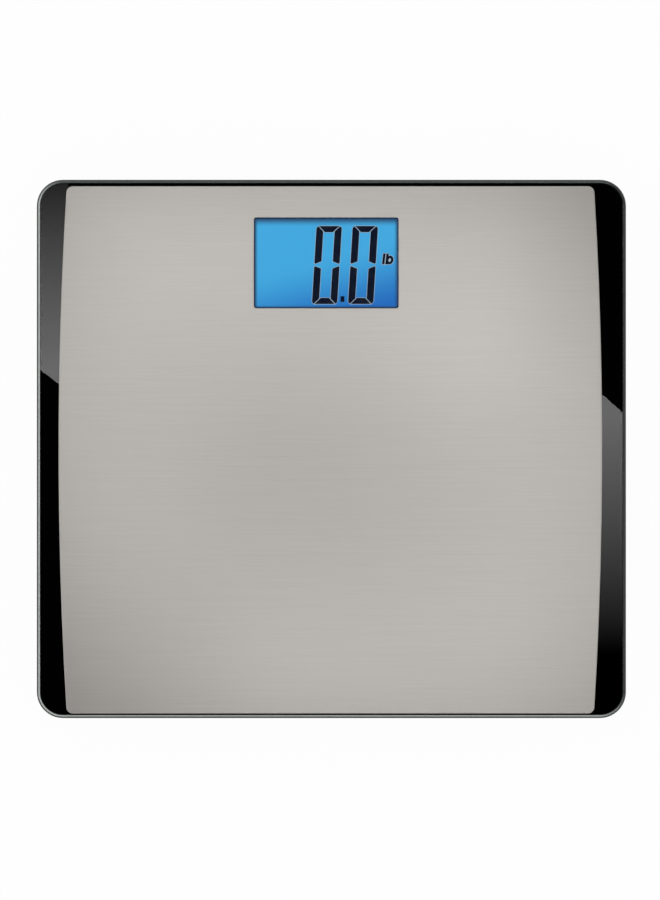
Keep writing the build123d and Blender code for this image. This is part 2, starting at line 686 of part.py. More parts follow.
def retainer_screws():
    places = [place for _, _, _, x, y in feet_places() for place in retainer_screw_places(x, y)]
    return [screw(x, y, z_retainer_screw, z_retainer_screw_tip) for x, y in places]


def foot_plunger(x, y):
    """The moving core of a foot: a neck through the retainer, a flange above, a tip under the cell."""
    core = post(x, y, z_cup_top, z_flange, NECK_RADIUS)
    core += post(x, y, z_flange, z_flange_top, flange_radius)
    core += post(x, y, z_flange_top, z_cell, PLUNGER_TIP_RADIUS)
    core = fillet(core.edges().group_by(Axis.Z)[-1], PLUNGER_TIP_ROUND)
    return core - post(x, y, z_cup_top - PAST, z_foot_screw_tip + SCREW_POINT_ROOM, SCREW_RADIUS + SCREW_FIT)


def foot_cup(x, y):
    cup = post(x, y, PAD_PROUD, z_cup_top, cup_radius)
    cup = fillet(cup.edges().group_by(Axis.Z)[-1], CUP_EDGE_ROUND)
    cup -= post(x, y, PAD_PROUD - PAST, PAD_THICK, PAD_RADIUS + PAD_FIT)
    cup -= post(x, y, PAD_THICK - PAST, z_foot_screw, SCREW_HEAD_RADIUS + SCREW_SLACK)
    return cup - post(x, y, PAD_THICK, z_cup_top + PAST, SCREW_RADIUS + SCREW_SLACK)


def foot_pad(x, y):
    """A rubber disc with ring grooves in its tread."""
    pad = post(x, y, 0, PAD_THICK, PAD_RADIUS)
    pad = fillet(pad.edges().group_by(Axis.Z)[0], PAD_EDGE_ROUND)
    for radius in PAD_GROOVES:
        low, high = radius - PAD_GROOVE_WIDTH / 2, radius + PAD_GROOVE_WIDTH / 2
        pad -= post(x, y, -PAST, PAD_GROOVE_DEPTH, high) - post(x, y, -2 * PAST, PAD_THICK, low)
    return pad


def foot_screw(x, y):
    return screw(x, y, z_foot_screw, z_foot_screw_tip)


def cell_leads():
    """One lead from each load cell to its plug on the main board. The front pair take the inner plugs."""
    leads = []
    for _, sx, sy, x, y in feet_places():
        start_x = x - sx * (CELL_SIDE / 2)
        lane = lane_y(LANE_REAR_CELL if sy > 0 else LANE_FRONT_CELL)
        plug = sx * (LEAD_REAR_PLUG_X if sy > 0 else LEAD_FRONT_PLUG_X)
        lane_x = sx * LEAD_LANE_X
        leads.append(lead([(start_x, y), (lane_x, y), (lane_x, lane), (plug, lane), (plug, lead_end_y)]))
    return leads


# Display and main board


def display_gasket():
    outer = around_display(
        WINDOW_WIDTH / 2 + GASKET_WIDTH, WINDOW_DEPTH / 2 + GASKET_WIDTH, z_lcd_front, z_print
    )
    return outer - around_display(WINDOW_WIDTH / 2, WINDOW_DEPTH / 2, z_lcd_front - PAST, z_print + PAST)


def lcd_panel():
    """Two sheets of glass. The front one overhangs, and its contacts face down to the rubber strips."""
    front = around_display(lcd_width / 2, lcd_depth / 2, z_lcd_ledge, z_lcd_front)
    return front + around_display(lcd_width / 2, lcd_depth / 2 - LCD_LEDGE, z_lcd_back, z_lcd_ledge)


def guide_half_sizes():
    return lcd_width / 2 - GUIDE_BORDER, lcd_depth / 2 - LCD_LEDGE - GUIDE_BORDER


def backlight_guide():
    half_x, half_y = guide_half_sizes()
    return around_display(half_x - LED_WIDTH, half_y, z_guide, z_lcd_back)


def backlight_leds():
    """Blue lamps that shine into the guide from its left end."""
    half_x, half_y = guide_half_sizes()
    left = WINDOW_X - half_x
    pitch = 2 * half_y / LED_COUNT
    lamps = []
    for i in range(LED_COUNT):
        y = window_y - half_y + (i + 0.5) * pitch
        front, rear = y - LED_LENGTH / 2, y + LED_LENGTH / 2
        lamps.append(block(left, left + LED_WIDTH, front, rear, z_guide, z_lcd_back))
    return lamps


def zebra_strips():
    """Rubber strips that join the panel's contacts to the board."""
    half_x, half_y = guide_half_sizes()
    outer = lcd_depth / 2
    inner = outer - LCD_LEDGE + HOLDER_GAP
    strips = []
    for side in (-1, 1):
        y0, y1 = sorted((window_y + side * inner, window_y + side * outer))
        strips.append(block(WINDOW_X - half_x, WINDOW_X + half_x, y0, y1, z_board_top, z_lcd_ledge))
    return strips


def display_holder():
    """The plastic frame round the panel, with four ears under the bosses of the upper frame."""
    holder = around_display(holder_half_x, holder_half_y, z_board_top, z_lcd_front)
    holder -= around_display(
        lcd_width / 2 + HOLDER_GAP, lcd_depth / 2 + HOLDER_GAP, z_board_top - PAST, z_lcd_front + PAST
    )
    half_x, half_y = guide_half_sizes()
    shelf = around_display(lcd_width / 2 + HOLDER_GAP, half_y, z_board_top, z_guide)
    inner_x, inner_y = half_x - HOLDER_WALL, half_y - HOLDER_WALL
    holder += shelf - around_display(inner_x, inner_y, z_board_top - PAST, z_guide + PAST)
    for x, y in ear_places:
        half = HOLDER_EAR / 2
        holder += block(x - half, x + half, y - half, y + half, z_board_top, z_ear_top)
        holder -= post(x, y, z_board, z_ear_top + PAST, SMALL_SCREW_RADIUS + SCREW_SLACK)
    return holder


def main_board():
    half_x = holder_half_x + HOLDER_EAR
    board_rear = window_y + holder_half_y
    board = block(WINDOW_X - half_x, WINDOW_X + half_x, board_front, board_rear, z_board, z_board_top)
    for x, y in ear_places:
        board -= post(x, y, z_board - PAST, z_board_top + PAST, SMALL_SCREW_RADIUS + SCREW_SLACK)
    return board


def controller_chip():
    """The bare chip under its blob of black resin."""
    blob = post(WINDOW_X, window_y, z_board - CHIP_HEIGHT, z_board, CHIP_RADIUS)
    return fillet(blob.edges().group_by(Axis.Z)[0], CHIP_ROUND)


def board_components():
    """Small parts in a row beside the chip."""
    x = WINDOW_X + CHIP_RADIUS + COMPONENT_GAP
    pieces = []
    for wide, deep, high in COMPONENTS:
        pieces.append(block(x, x + wide, window_y - deep / 2, window_y + deep / 2, z_board - high, z_board))
        x += wide + COMPONENT_GAP
    return pieces


def wire_connectors():
    plugs = [-LEAD_REAR_PLUG_X, -LEAD_FRONT_PLUG_X, LEAD_FRONT_PLUG_X, LEAD_REAR_PLUG_X]
    plugs += [-LEAD_BATTERY_PLUG_X, LEAD_BATTERY_PLUG_X, LEAD_BUTTON_PLUG_X]
    half = CONNECTOR_WIDTH / 2
    rear = lead_end_y + CONNECTOR_DEPTH
    return [block(x - half, x + half, lead_end_y, rear, z_connector, z_board) for x in plugs]


def board_screws():
    return [small_screw(x, y, z_board, z_board_screw_tip) for x, y in ear_places]


# Battery bay


def battery(index):
    """An AAA cell. Neighbours lie head to tail."""
    way = 1 if index % 2 == 0 else -1
    x = battery_xs[index]
    tip = BAY_Y + way * (cavity_half_y - CONTACT_THICK)
    shoulder = tip - way * BATTERY_NUB_HEIGHT
    foot = tip - way * BATTERY_LENGTH
    can = rod("y", x, (shoulder + foot) / 2, z_battery, BATTERY_LENGTH - BATTERY_NUB_HEIGHT, BATTERY_RADIUS)
    can = fillet(can.edges().filter_by(GeomType.CIRCLE), BATTERY_EDGE_ROUND)
    return can + rod("y", x, (tip + shoulder) / 2, z_battery, BATTERY_NUB_HEIGHT, BATTERY_NUB_RADIUS)


def contact_plates():
    """Sheet contacts at the bay's ends. They join the cells in series; the outer rear pair feed the leads."""
    low, high = z_battery - CONTACT_HEIGHT / 2, z_battery + CONTACT_HEIGHT / 2
    half = CONTACT_WIDTH / 2
    front, rear = BAY_Y - cavity_half_y, BAY_Y + cavity_half_y
    plates = []
    for left, right in zip(battery_xs[0::2], battery_xs[1::2]):
        plates.append(block(left - half, right + half, front, front + CONTACT_THICK, low, high))
    for left, right in zip(battery_xs[1:-1:2], battery_xs[2::2]):
        plates.append(block(left - half, right + half, rear - CONTACT_THICK, rear, low, high))
    for x in (battery_xs[0], battery_xs[-1]):
        plates.append(block(x - half, x + half, rear - CONTACT_THICK, rear, low, high))
    return plates


def contact_springs():
    """Bent leaf springs that press on each cell's flat end."""
    springs = []
    wide, tip = CONTACT_WIDTH / 2 - CONTACT_THICK, SPRING_TIP_WIDTH / 2
    reach, thick = SPRING_REACH, CONTACT_THICK
    outside = [(-wide, 0), (wide, 0), (tip, reach), (-tip, reach)]
    slope = thick * math.hypot(wide - tip, reach) / reach
    inner_tip = tip - slope + thick * (wide - tip) / reach
    inner_foot = wide - slope + PAST * (wide - tip) / reach
    roof = reach - thick
    inside = [(-inner_foot, -PAST), (inner_foot, -PAST), (inner_tip, roof), (-inner_tip, roof)]
    profile = Polygon(*outside, align=None) - Polygon(*inside, align=None)
    for index, x in enumerate(battery_xs):
        way = 1 if index % 2 == 0 else -1
        y = BAY_Y - way * (cavity_half_y - CONTACT_THICK)
        turn = Rot(0, 0, 0) if way > 0 else Rot(0, 0, 180)
        leaf = slab(profile, z_battery - SPRING_HEIGHT / 2, z_battery + SPRING_HEIGHT / 2)
        springs += (Pos(x, y) * turn * leaf).solids()
    return springs


def battery_leads():
    leads = []
    for side, x in ((-1, battery_xs[0]), (1, battery_xs[-1])):
        start = BAY_Y + cavity_half_y
        turn = lane_y(LANE_BATTERY)
        plug = side * LEAD_BATTERY_PLUG_X
        leads.append(lead([(x, start), (x, turn), (plug, turn), (plug, lead_end_y)]))
    return leads


def battery_door():
    """A lid that swings down on two pins. Its hinge edge is a barrel about the pins' axis."""
    door = block(-door_half_x, door_half_x, door_front_y, hinge_y, z_base, z_door)
    door += rod("x", 0, hinge_y, z_hinge, 2 * door_half_x, DOOR_BARREL)
    door += rod("x", 0, hinge_y, z_hinge, 2 * (door_half_x + DOOR_PIN_LENGTH), DOOR_PIN_RADIUS)
    half = LATCH_WIDTH / 2
    door -= block(-half, half, door_front_y - PAST, latch_inner_y - LATCH_THICK, z_base - PAST, z_door + PAST)
    for i in range(DOOR_GRIP_COUNT):
        y = latch_inner_y + DOOR_GRIP_INSET + i * DOOR_GRIP_PITCH
        door -= block(-half, half, y, y + DOOR_GRIP_WIDTH, z_base - PAST, z_base + DOOR_GRIP_DEPTH)
    return door


def battery_door_latch():
    """The door's springy hook: up, over and down to a finger tab, with a nose over the tray's floor."""
    half = LATCH_WIDTH / 2
    top = z_door + LATCH_HEIGHT
    inner, outer = latch_inner_y, latch_outer_y
    hook = block(-half, half, inner - LATCH_THICK, inner, z_door, top)
    hook += block(-half, half, outer, inner, top - LATCH_THICK, top)
    hook += block(-half, half, outer, outer + LATCH_THICK, z_base, top)
    hook += block(-half, half, outer - LATCH_NOSE, outer, z_floor, z_floor + LATCH_NOSE)
    bend = hook.edges().filter_by(Axis.X).group_by(Axis.Z)[-1]
    return fillet(bend, LATCH_ROUND)


# Unit button


def unit_button():
    cap = post(button_x, BAY_Y, z_button, z_floor, BUTTON_RADIUS)
    cap = fillet(cap.edges().group_by(Axis.Z)[0], BUTTON_ROUND)
    cap += post(button_x, BAY_Y, z_floor, z_stem, BUTTON_RADIUS + BUTTON_FLANGE_LAP)
    return cap + post(button_x, BAY_Y, z_stem, z_stem_top, BUTTON_STEM_RADIUS)


def switch_plunger():
    return post(button_x, BAY_Y, z_stem_top, z_switch + SWITCH_PLUNGER_BITE, SWITCH_PLUNGER_RADIUS)


def tact_switch():
    half = SWITCH_SIDE / 2
    case = block(button_x - half, button_x + half, BAY_Y - half, BAY_Y + half, z_switch, z_switch_board)
    bore_top = z_switch + SWITCH_PLUNGER_BITE + BUTTON_TRAVEL + SWITCH_AIR / 2
    return case - post(button_x, BAY_Y, z_switch - PAST, bore_top, SWITCH_PLUNGER_RADIUS + SWITCH_PLUNGER_FIT)


def button_board():
    """The switch's own small board on two posts, and the block where its lead is soldered."""
    half_x, half_y = SWITCH_BOARD_WIDTH / 2, SWITCH_BOARD_DEPTH / 2
    left, right = button_x - half_x, button_x + half_x
    board = block(left, right, BAY_Y - half_y, BAY_Y + half_y, z_switch_board, z_switch_board_top)
    for x, y in switch_post_places:
        hole = SMALL_SCREW_RADIUS + SCREW_SLACK
        board -= post(x, y, z_switch_board - PAST, z_switch_board_top + PAST, hole)
    half = TERMINAL_WIDTH / 2
    far = BAY_Y + half_y
    return board + block(
        button_x - half, button_x + half, far - TERMINAL_LENGTH, far, z_lead - LEAD_RADIUS, z_switch_board
    )


def button_board_screws():
    return [small_screw(x, y, z_switch_board_top, z_switch_screw_tip) for x, y in switch_post_places]


def button_lead():
    start = BAY_Y + SWITCH_BOARD_DEPTH / 2
    turn = lane_y(LANE_BUTTON)
    plug = LEAD_BUTTON_PLUG_X
    return lead([(button_x, start), (button_x, turn), (plug, turn), (plug, lead_end_y)])


def nodes():
    """Every sub-part under its name."""
    made = {
        "steel_platform": steel_platform(),
        "plate_film": plate_film(),
        "glass_platform": glass_platform(),
        "black_print": black_print(),
        "bonding_tape": bonding_tape(),
        "upper_frame": upper_frame(),
        "base_tray": base_tray(),
        "base_screws": base_screws(),
        "foot_retainers": foot_retainers(),
        "retainer_screws": retainer_screws(),
        "strain_gauges": strain_gauges(),
        "cell_leads": cell_leads(),
        "display_gasket": display_gasket(),
        "lcd_panel": lcd_panel(),
        "backlight_guide": backlight_guide(),
        "backlight_leds": backlight_leds(),
        "zebra_strips": zebra_strips(),
        "display_holder": display_holder(),
        "main_board": main_board(),
        "controller_chip": controller_chip(),
        "board_components": board_components(),
        "wire_connectors": wire_connectors(),
        "board_screws": board_screws(),
        "contact_plates": contact_plates(),
        "contact_springs": contact_springs(),
        "battery_leads": battery_leads(),
        "battery_door": battery_door(),
        "battery_door_latch": battery_door_latch(),
        "unit_button": unit_button(),
        "switch_plunger": switch_plunger(),
        "tact_switch": tact_switch(),
        "button_board": button_board(),
        "button_board_screws": button_board_screws(),
        "button_lead": button_lead(),
    }
    for index in range(BATTERY_COUNT):
        made[f"battery_{index + 1}"] = battery(index)
    for name, _, _, x, y in feet_places():
        made[f"load_cell_{name}"] = load_cell(x, y)
        made[f"foot_plunger_{name}"] = foot_plunger(x, y)
        made[f"foot_cup_{name}"] = foot_cup(x, y)
        made[f"foot_pad_{name}"] = foot_pad(x, y)
        made[f"foot_screw_{name}"] = foot_screw(x, y)
    return made


def main():
    os.makedirs("parts", exist_ok=True)
    for name, shape in nodes().items():
        pieces = shape if isinstance(shape, list) else [shape]
        solids = [solid for piece in pieces for solid in piece.solids()]
        export_step(solids[0] if len(solids) == 1 else Compound(children=solids), f"parts/{name}.step")
    print("height", round(z_top, 2), "foot at", round(foot_x, 2), round(foot_y, 2))
    print("window centre y", round(window_y, 2), "hinge at y, z", round(hinge_y, 2), round(z_hinge, 2))
    print("foot travel", FOOT_TRAVEL, "button travel", BUTTON_TRAVEL)


main()
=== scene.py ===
# %% [markdown]
# # A digital bathroom scale
# The construction comes in finished: every plate, foot, screw and board is already at its real
# size and place. This lesson gives each piece its finish, draws the reading on the display, and
# sets up a plain studio above a white floor. All lengths are metres, and millimetres are written
# as a number times MM.

# %% Load the finished construction
import math

import bpy
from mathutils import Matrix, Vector


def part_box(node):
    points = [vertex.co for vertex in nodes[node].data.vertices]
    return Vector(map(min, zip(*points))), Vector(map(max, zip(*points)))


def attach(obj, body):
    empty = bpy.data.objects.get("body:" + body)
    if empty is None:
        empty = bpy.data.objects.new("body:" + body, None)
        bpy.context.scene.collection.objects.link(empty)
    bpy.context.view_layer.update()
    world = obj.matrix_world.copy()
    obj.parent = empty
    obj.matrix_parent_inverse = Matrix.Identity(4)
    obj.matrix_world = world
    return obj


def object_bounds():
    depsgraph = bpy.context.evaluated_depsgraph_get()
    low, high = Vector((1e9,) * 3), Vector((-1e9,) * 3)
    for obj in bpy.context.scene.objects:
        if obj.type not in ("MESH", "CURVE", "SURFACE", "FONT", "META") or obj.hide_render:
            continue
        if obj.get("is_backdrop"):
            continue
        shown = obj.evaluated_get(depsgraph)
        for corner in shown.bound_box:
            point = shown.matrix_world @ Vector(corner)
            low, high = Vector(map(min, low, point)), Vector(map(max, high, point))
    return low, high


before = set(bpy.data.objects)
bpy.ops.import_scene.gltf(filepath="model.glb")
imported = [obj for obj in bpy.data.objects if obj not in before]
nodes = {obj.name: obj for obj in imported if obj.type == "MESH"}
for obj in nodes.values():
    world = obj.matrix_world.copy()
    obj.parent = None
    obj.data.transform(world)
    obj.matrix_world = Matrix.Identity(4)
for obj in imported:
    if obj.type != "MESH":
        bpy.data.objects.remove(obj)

MM = 0.001
scene = bpy.context.scene
cad_low, cad_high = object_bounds()
span = [round(v / MM, 1) for v in cad_high - cad_low]
print("construction spans", span, "mm in", len(nodes), "pieces")

# %% [markdown]
# ## Colours and nodes
# A colour picked from a screen is an sRGB hex value, and a shader wants linear light, so one
# function turns the first into the second. A second function adds one shader node with its
# settings, and feeds each input with a plain value or another node's output. Every finish below is
# made with these two and one that starts an empty material. Three sets of settings come up often:
# mixing colours, a smooth step, and the span in which most of a noise lies.

# %% Colour and node helpers
COLOURS = {"data_type": "RGBA"}
SMOOTH = {"interpolation_type": "SMOOTHSTEP"}
NOISE_SPAN = {"From_Min": 0.3, "From_Max": 0.7}


def linear(hex_colour):
    """Linear red, green, blue and alpha of an sRGB hex colour such as #B4AFAB."""
    channels = [int(hex_colour[i : i + 2], 16) / 255 for i in (1, 3, 5)]
    return (*[c / 12.92 if c <= 0.04045 else ((c + 0.055) / 1.055) ** 2.4 for c in channels], 1.0)


def add_node(tree, kind, settings=None, **inputs):
    """Adds a shader node. A node given as an input stands for its first output.

    Underscores in an input's name stand for spaces, and in_0 is the first input.
    """
    node = tree.nodes.new("ShaderNode" + kind)
    for name, value in (settings or {}).items():
        setattr(node, name, value)
    for name, value in inputs.items():
        key = int(name[3:]) if name.startswith("in_") else name.replace("_", " ")
        if isinstance(value, bpy.types.Node):
            value = value.outputs[0]
        if isinstance(value, bpy.types.NodeSocket):
            tree.links.new(value, node.inputs[key])
        else:
            node.inputs[key].default_value = value
    return node


def start_material(name):
    """An empty material, its node tree, and the place on the piece that its patterns follow."""
    material = bpy.data.materials.new(name)
    material.use_nodes = True
    tree = material.node_tree
    tree.nodes.clear()
    return material, tree, add_node(tree, "TexCoord").outputs["Object"]


def dress(material, *names):
    """Gives construction pieces their finish."""
    for name in names:
        nodes[name].data.materials.clear()
        nodes[name].data.materials.append(material)
    print(material.name, "on", len(names), "pieces")


def every(prefix):
    """All pieces whose names start with the same words."""
    return sorted(name for name in nodes if name.startswith(prefix))


# %% [markdown]
# ## The camera
# The view is straight down from far away, so the two long sides of the platform stay parallel. A
# camera six metres up with a long lens does the same. Its lens follows from how wide the glass is
# and how many pixels it covers, and its place from where the middle of the glass lies in the
# picture.

# %% Camera straight above
IMAGE_WIDTH, IMAGE_HEIGHT = 660, 900
GLASS_LEFT, GLASS_RIGHT, GLASS_REAR, GLASS_FRONT = 36.65, 626.15, 179.9, 718.0
CAMERA_HEIGHT = 6.0
SENSOR_WIDTH = 36.0
SIGHT = 100.0

glass_low, glass_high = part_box("glass_platform")
pixel = (glass_high.x - glass_low.x) / (GLASS_RIGHT - GLASS_LEFT)
camera_data = bpy.data.cameras.new("camera")
camera = bpy.data.objects.new("camera", camera_data)
scene.collection.objects.link(camera)
scene.camera = camera
middle_x = (GLASS_LEFT + GLASS_RIGHT) / 2 - IMAGE_WIDTH / 2
middle_y = IMAGE_HEIGHT / 2 - (GLASS_REAR + GLASS_FRONT) / 2
camera.location = (-middle_x * pixel, -middle_y * pixel, glass_high.z + CAMERA_HEIGHT)
camera_data.sensor_width = SENSOR_WIDTH
camera_data.lens = SENSOR_WIDTH * CAMERA_HEIGHT / (IMAGE_HEIGHT * pixel)
camera_data.clip_end = SIGHT
print("lens", round(camera_data.lens, 1), "mm,", round(pixel / MM, 3), "mm to a pixel")

# %% [markdown]
# ## Brushed stainless steel
# The standing plate is stainless sheet, ground with an abrasive belt that ran across the width.
# The belt leaves hair-thin scratches, all one way, which stretch highlights across the grain and
# leave the tone soft. A noise that is squeezed hard along X gives those scratches. They are really
# a twentieth of a millimetre wide, and are drawn about half a millimetre wide so that they show.

# %% Brushed steel for the standing plate
SCRATCH_WIDTH, SCRATCH_LENGTH, SCRATCH_DEPTH = 0.45 * MM, 60 * MM, 0.02 * MM
STEEL_ROUGHNESS = {"To_Min": 0.27, "To_Max": 0.34}
ROLLED_CLOUD, CLOUD_ROUGHNESS = 140 * MM, 0.04


def brushed_stainless():
    """Belt-ground stainless sheet: a warm grey metal with soft highlights and lines along X."""
    material, tree, place = start_material("stainless_steel_brushed")
    stretch = (1 / SCRATCH_LENGTH, 1 / SCRATCH_WIDTH, 1 / SCRATCH_LENGTH)
    along = add_node(tree, "Mapping", Vector=place, Scale=stretch)
    hairs = add_node(tree, "TexNoise", Vector=along, Scale=1.0, Detail=4.0, Roughness=0.7)
    cloud = add_node(tree, "TexNoise", Vector=place, Scale=1 / ROLLED_CLOUD, Detail=2.0)
    tone = add_node(tree, "MapRange", Value=hairs, **NOISE_SPAN)
    tint = add_node(
        tree, "Mix", COLOURS, Factor=tone, in_6=linear("#C5C1BC"), in_7=linear("#CECAC5")
    )
    rough = add_node(tree, "MapRange", Value=hairs, **NOISE_SPAN, **STEEL_ROUGHNESS)
    rough = add_node(
        tree, "Math", {"operation": "MULTIPLY_ADD"}, in_0=cloud, in_1=CLOUD_ROUGHNESS, in_2=rough
    )
    bump = add_node(tree, "Bump", Height=hairs, Strength=0.06, Distance=SCRATCH_DEPTH)
    shader = add_node(
        tree, "BsdfPrincipled", Base_Color=tint.outputs[2], Metallic=1.0, Roughness=rough,
        Normal=bump,
    )
    add_node(tree, "OutputMaterial", Surface=shader)
    return material


dress(brushed_stainless(), "steel_platform")

# %% [markdown]
# ## Glass, black behind
# The platform is a sheet of tempered soda-lime glass, so its edge looks faintly green. Its back is
# printed with black enamel except behind the display. Clear glass with the enamel as a separate
# sheet under it gives the deep black gloss of the two side strips. The outer three to four
# millimetres along the rounded edge are tinted nearly black: partly the glass's own green, as
# light crosses more glass there, and partly painted shade of the shaded floor seen through the
# round. A pale line along the round is a painted highlight, hazy and less clear, strongest on the
# left and the front where the light comes from, thin at the rear, and gone on the right.

# %% How far a place is from the edge of the glass
GLASS_CORNER = 18.0 * MM
ANY_HEIGHT = 1.0


def past_core(tree, place):
    """The way from the rectangle between the centres of the four corner rounds out to a place."""
    core = Vector((glass_high.x - GLASS_CORNER, glass_high.y - GLASS_CORNER, ANY_HEIGHT))
    near = add_node(tree, "VectorMath", {"operation": "MINIMUM"}, in_0=place, in_1=core)
    near = add_node(tree, "VectorMath", {"operation": "MAXIMUM"}, in_0=near, in_1=-core)
    return add_node(tree, "VectorMath", {"operation": "SUBTRACT"}, in_0=place, in_1=near)


def past_outline(tree, place):
    """How far a place lies outside the outline of the glass, and below zero how far inside it."""
    way = add_node(tree, "VectorMath", {"operation": "LENGTH"}, in_0=past_core(tree, place))
    way = way.outputs["Value"]
    return add_node(tree, "Math", {"operation": "SUBTRACT"}, in_0=way, in_1=GLASS_CORNER)


glass_size = [round(v / MM, 1) for v in glass_high - glass_low]
print("glass", glass_size, "mm, corners", round(GLASS_CORNER / MM, 1), "mm")

# %% [markdown]
# The edge's darkness and its painted highlight both follow the distance from the outline. How much
# of the painted highlight there is follows the way that the edge faces, toward the light on the
# left and front, which a dot product with one slanted direction gives.

# %% Clear glass and black enamel
# Painted shade with the glass's own edge green: the rim is tinted nearly black between these.
RIM_START, RIM_FULL = -4.0 * MM, -3.3 * MM
# Where the painted highlight lies across the round, and the side of the light that it faces.
HIGHLIGHT_SPAN = ((-2.5 * MM, -1.8 * MM, 0.0, 1.0), (-1.5 * MM, -0.8 * MM, 1.0, 0.0))
HIGHLIGHT_FACING, HIGHLIGHT_EVEN = (-0.5, -0.3, 0.0), 0.55
HIGHLIGHT_CLOUDING, HIGHLIGHT_ROUGHNESS = 0.8, 0.4
GLASS_CLOUD, ENAMEL_SPECK = 110 * MM, 3 * MM


def tempered_glass():
    """Float glass with a breath of green, painted shade at its rim and a painted highlight line."""
    material, tree, place = start_material("soda_lime_glass_polished")
    cloud = add_node(tree, "TexNoise", Vector=place, Scale=1 / GLASS_CLOUD, Detail=3.0)
    clear = add_node(
        tree, "Mix", COLOURS, Factor=cloud, in_6=linear("#E4EEE9"), in_7=linear("#ECF3EF")
    )
    distance = past_outline(tree, place)
    # Painted shade: the outer rim darkens to near black, along with the glass's own green.
    rim = add_node(tree, "MapRange", SMOOTH, Value=distance, From_Min=RIM_START, From_Max=RIM_FULL)
    tint = add_node(
        tree, "Mix", COLOURS, Factor=rim, in_6=clear.outputs[2], in_7=linear("#111513")
    )
    outward = add_node(tree, "VectorMath", {"operation": "NORMALIZE"}, in_0=past_core(tree, place))
    facing = add_node(
        tree, "VectorMath", {"operation": "DOT_PRODUCT"}, in_0=outward, in_1=HIGHLIGHT_FACING
    ).outputs["Value"]
    # Painted highlight: strongest where the edge faces the light on the left and front, gone on the
    # right.
    line = add_node(
        tree, "Math", {"operation": "ADD", "use_clamp": True}, in_0=facing, in_1=HIGHLIGHT_EVEN
    )
    for start, end, before, after in HIGHLIGHT_SPAN:
        side = add_node(
            tree, "MapRange", SMOOTH, Value=distance, From_Min=start, From_Max=end,
            To_Min=before, To_Max=after,
        )
        line = add_node(tree, "Math", {"operation": "MULTIPLY"}, in_0=line, in_1=side)
    # The pale colour of the painted highlight line on the round.
    tint = add_node(
        tree, "Mix", COLOURS, Factor=line, in_6=tint.outputs[2], in_7=linear("#CCD4CF")
    )
    clarity = add_node(
        tree, "Math", {"operation": "MULTIPLY_ADD"}, in_0=line, in_1=-HIGHLIGHT_CLOUDING, in_2=1.0
    )
    haze = add_node(tree, "Math", {"operation": "MULTIPLY"}, in_0=line, in_1=HIGHLIGHT_ROUGHNESS)
    shader = add_node(
        tree, "BsdfPrincipled", Base_Color=tint.outputs[2], Roughness=haze, IOR=1.52,
        Transmission_Weight=clarity,
    )
    add_node(tree, "OutputMaterial", Surface=shader)
    return material


def black_enamel():
    """Ceramic enamel, screen printed and fired on the glass: a dense, dull black."""
    material, tree, place = start_material("black_enamel_fired")
    specks = add_node(tree, "TexNoise", Vector=place, Scale=1 / ENAMEL_SPECK, Detail=2.0)
    tone = add_node(
        tree, "Mix", COLOURS, Factor=specks, in_6=linear("#040405"), in_7=linear("#08080A")
    )
    shader = add_node(
        tree, "BsdfPrincipled", Base_Color=tone.outputs[2], Roughness=0.6, Specular_IOR_Level=0.05
    )
    add_node(tree, "OutputMaterial", Surface=shader)
    return material


dress(tempered_glass(), "glass_platform")
dress(black_enamel(), "black_print")

# %% [markdown]
# ## Moulded plastics
# The tray, frame, door, feet and retainers are black ABS from a mould that was spark eroded, which
# leaves a fine, even orange-peel grain about a third of a millimetre across. Other mouldings
# differ in colour and gloss only, so one function makes them all: noise at the grain's real size
# for the bump, and a slow cloud for the slight unevenness of the gloss.

# %% Moulded plastics
FLOW_CLOUD, GLOSS_SPREAD, PEEL_DEPTH = 80 * MM, 0.05, 0.02 * MM


def moulded_plastic(name, dark, light, roughness, grain=0.35 * MM):
    """Plastic with the grain of its mould: a soft broken gloss and slow clouds of tone."""
    material, tree, place = start_material(name)
    peel = add_node(tree, "TexNoise", Vector=place, Scale=1 / (2 * grain), Detail=2.0)
    cloud = add_node(tree, "TexNoise", Vector=place, Scale=1 / FLOW_CLOUD, Detail=3.0)
    tone = add_node(tree, "Mix", COLOURS, Factor=cloud, in_6=linear(dark), in_7=linear(light))
    rough = add_node(
        tree, "MapRange", Value=cloud, **NOISE_SPAN,
        To_Min=roughness - GLOSS_SPREAD, To_Max=roughness + GLOSS_SPREAD,
    )
    bump = add_node(tree, "Bump", Height=peel, Strength=0.5, Distance=PEEL_DEPTH)
    shader = add_node(
        tree, "BsdfPrincipled", Base_Color=tone.outputs[2], Roughness=rough, IOR=1.5, Normal=bump
    )
    add_node(tree, "OutputMaterial", Surface=shader)
    return material


black_abs = moulded_plastic("abs_black_spark_textured", "#343537", "#3F4042", 0.5)
dress(black_abs, "base_tray", "upper_frame", "foot_retainers", "battery_door", "battery_door_latch")
dress(black_abs, *every("foot_cup"), *every("foot_plunger"))
grey_abs = moulded_plastic("abs_grey_fine_textured", "#8D9194", "#999DA0", 0.42, grain=0.2 * MM)
dress(grey_abs, "unit_button")
dress(moulded_plastic("abs_white_smooth", "#E4E4E0", "#EDEDEA", 0.4), "display_holder")
dress(moulded_plastic("nylon_ivory_smooth", "#E6DFC8", "#EEE8D4", 0.38), "wire_connectors")
switch_case = moulded_plastic("switch_case_black", "#0E0E0F", "#161617", 0.35)
dress(switch_case, "tact_switch", "switch_plunger")
bodies = moulded_plastic("component_bodies_tan", "#3B2E20", "#8C7351", 0.45, grain=1.2 * MM)
dress(bodies, "board_components")
dress(moulded_plastic("chip_resin_black", "#0A0A0B", "#121213", 0.25), "controller_chip")
dress(moulded_plastic("acrylic_light_guide", "#CFE3F2", "#DDEEFA", 0.12), "backlight_guide")
dress(moulded_plastic("lamp_resin_pale", "#D8DEE8", "#E6ECF4", 0.2), "backlight_leds")
dress(moulded_plastic("gauge_sealing_resin", "#B9AE8C", "#CEC4A4", 0.3), "strain_gauges")

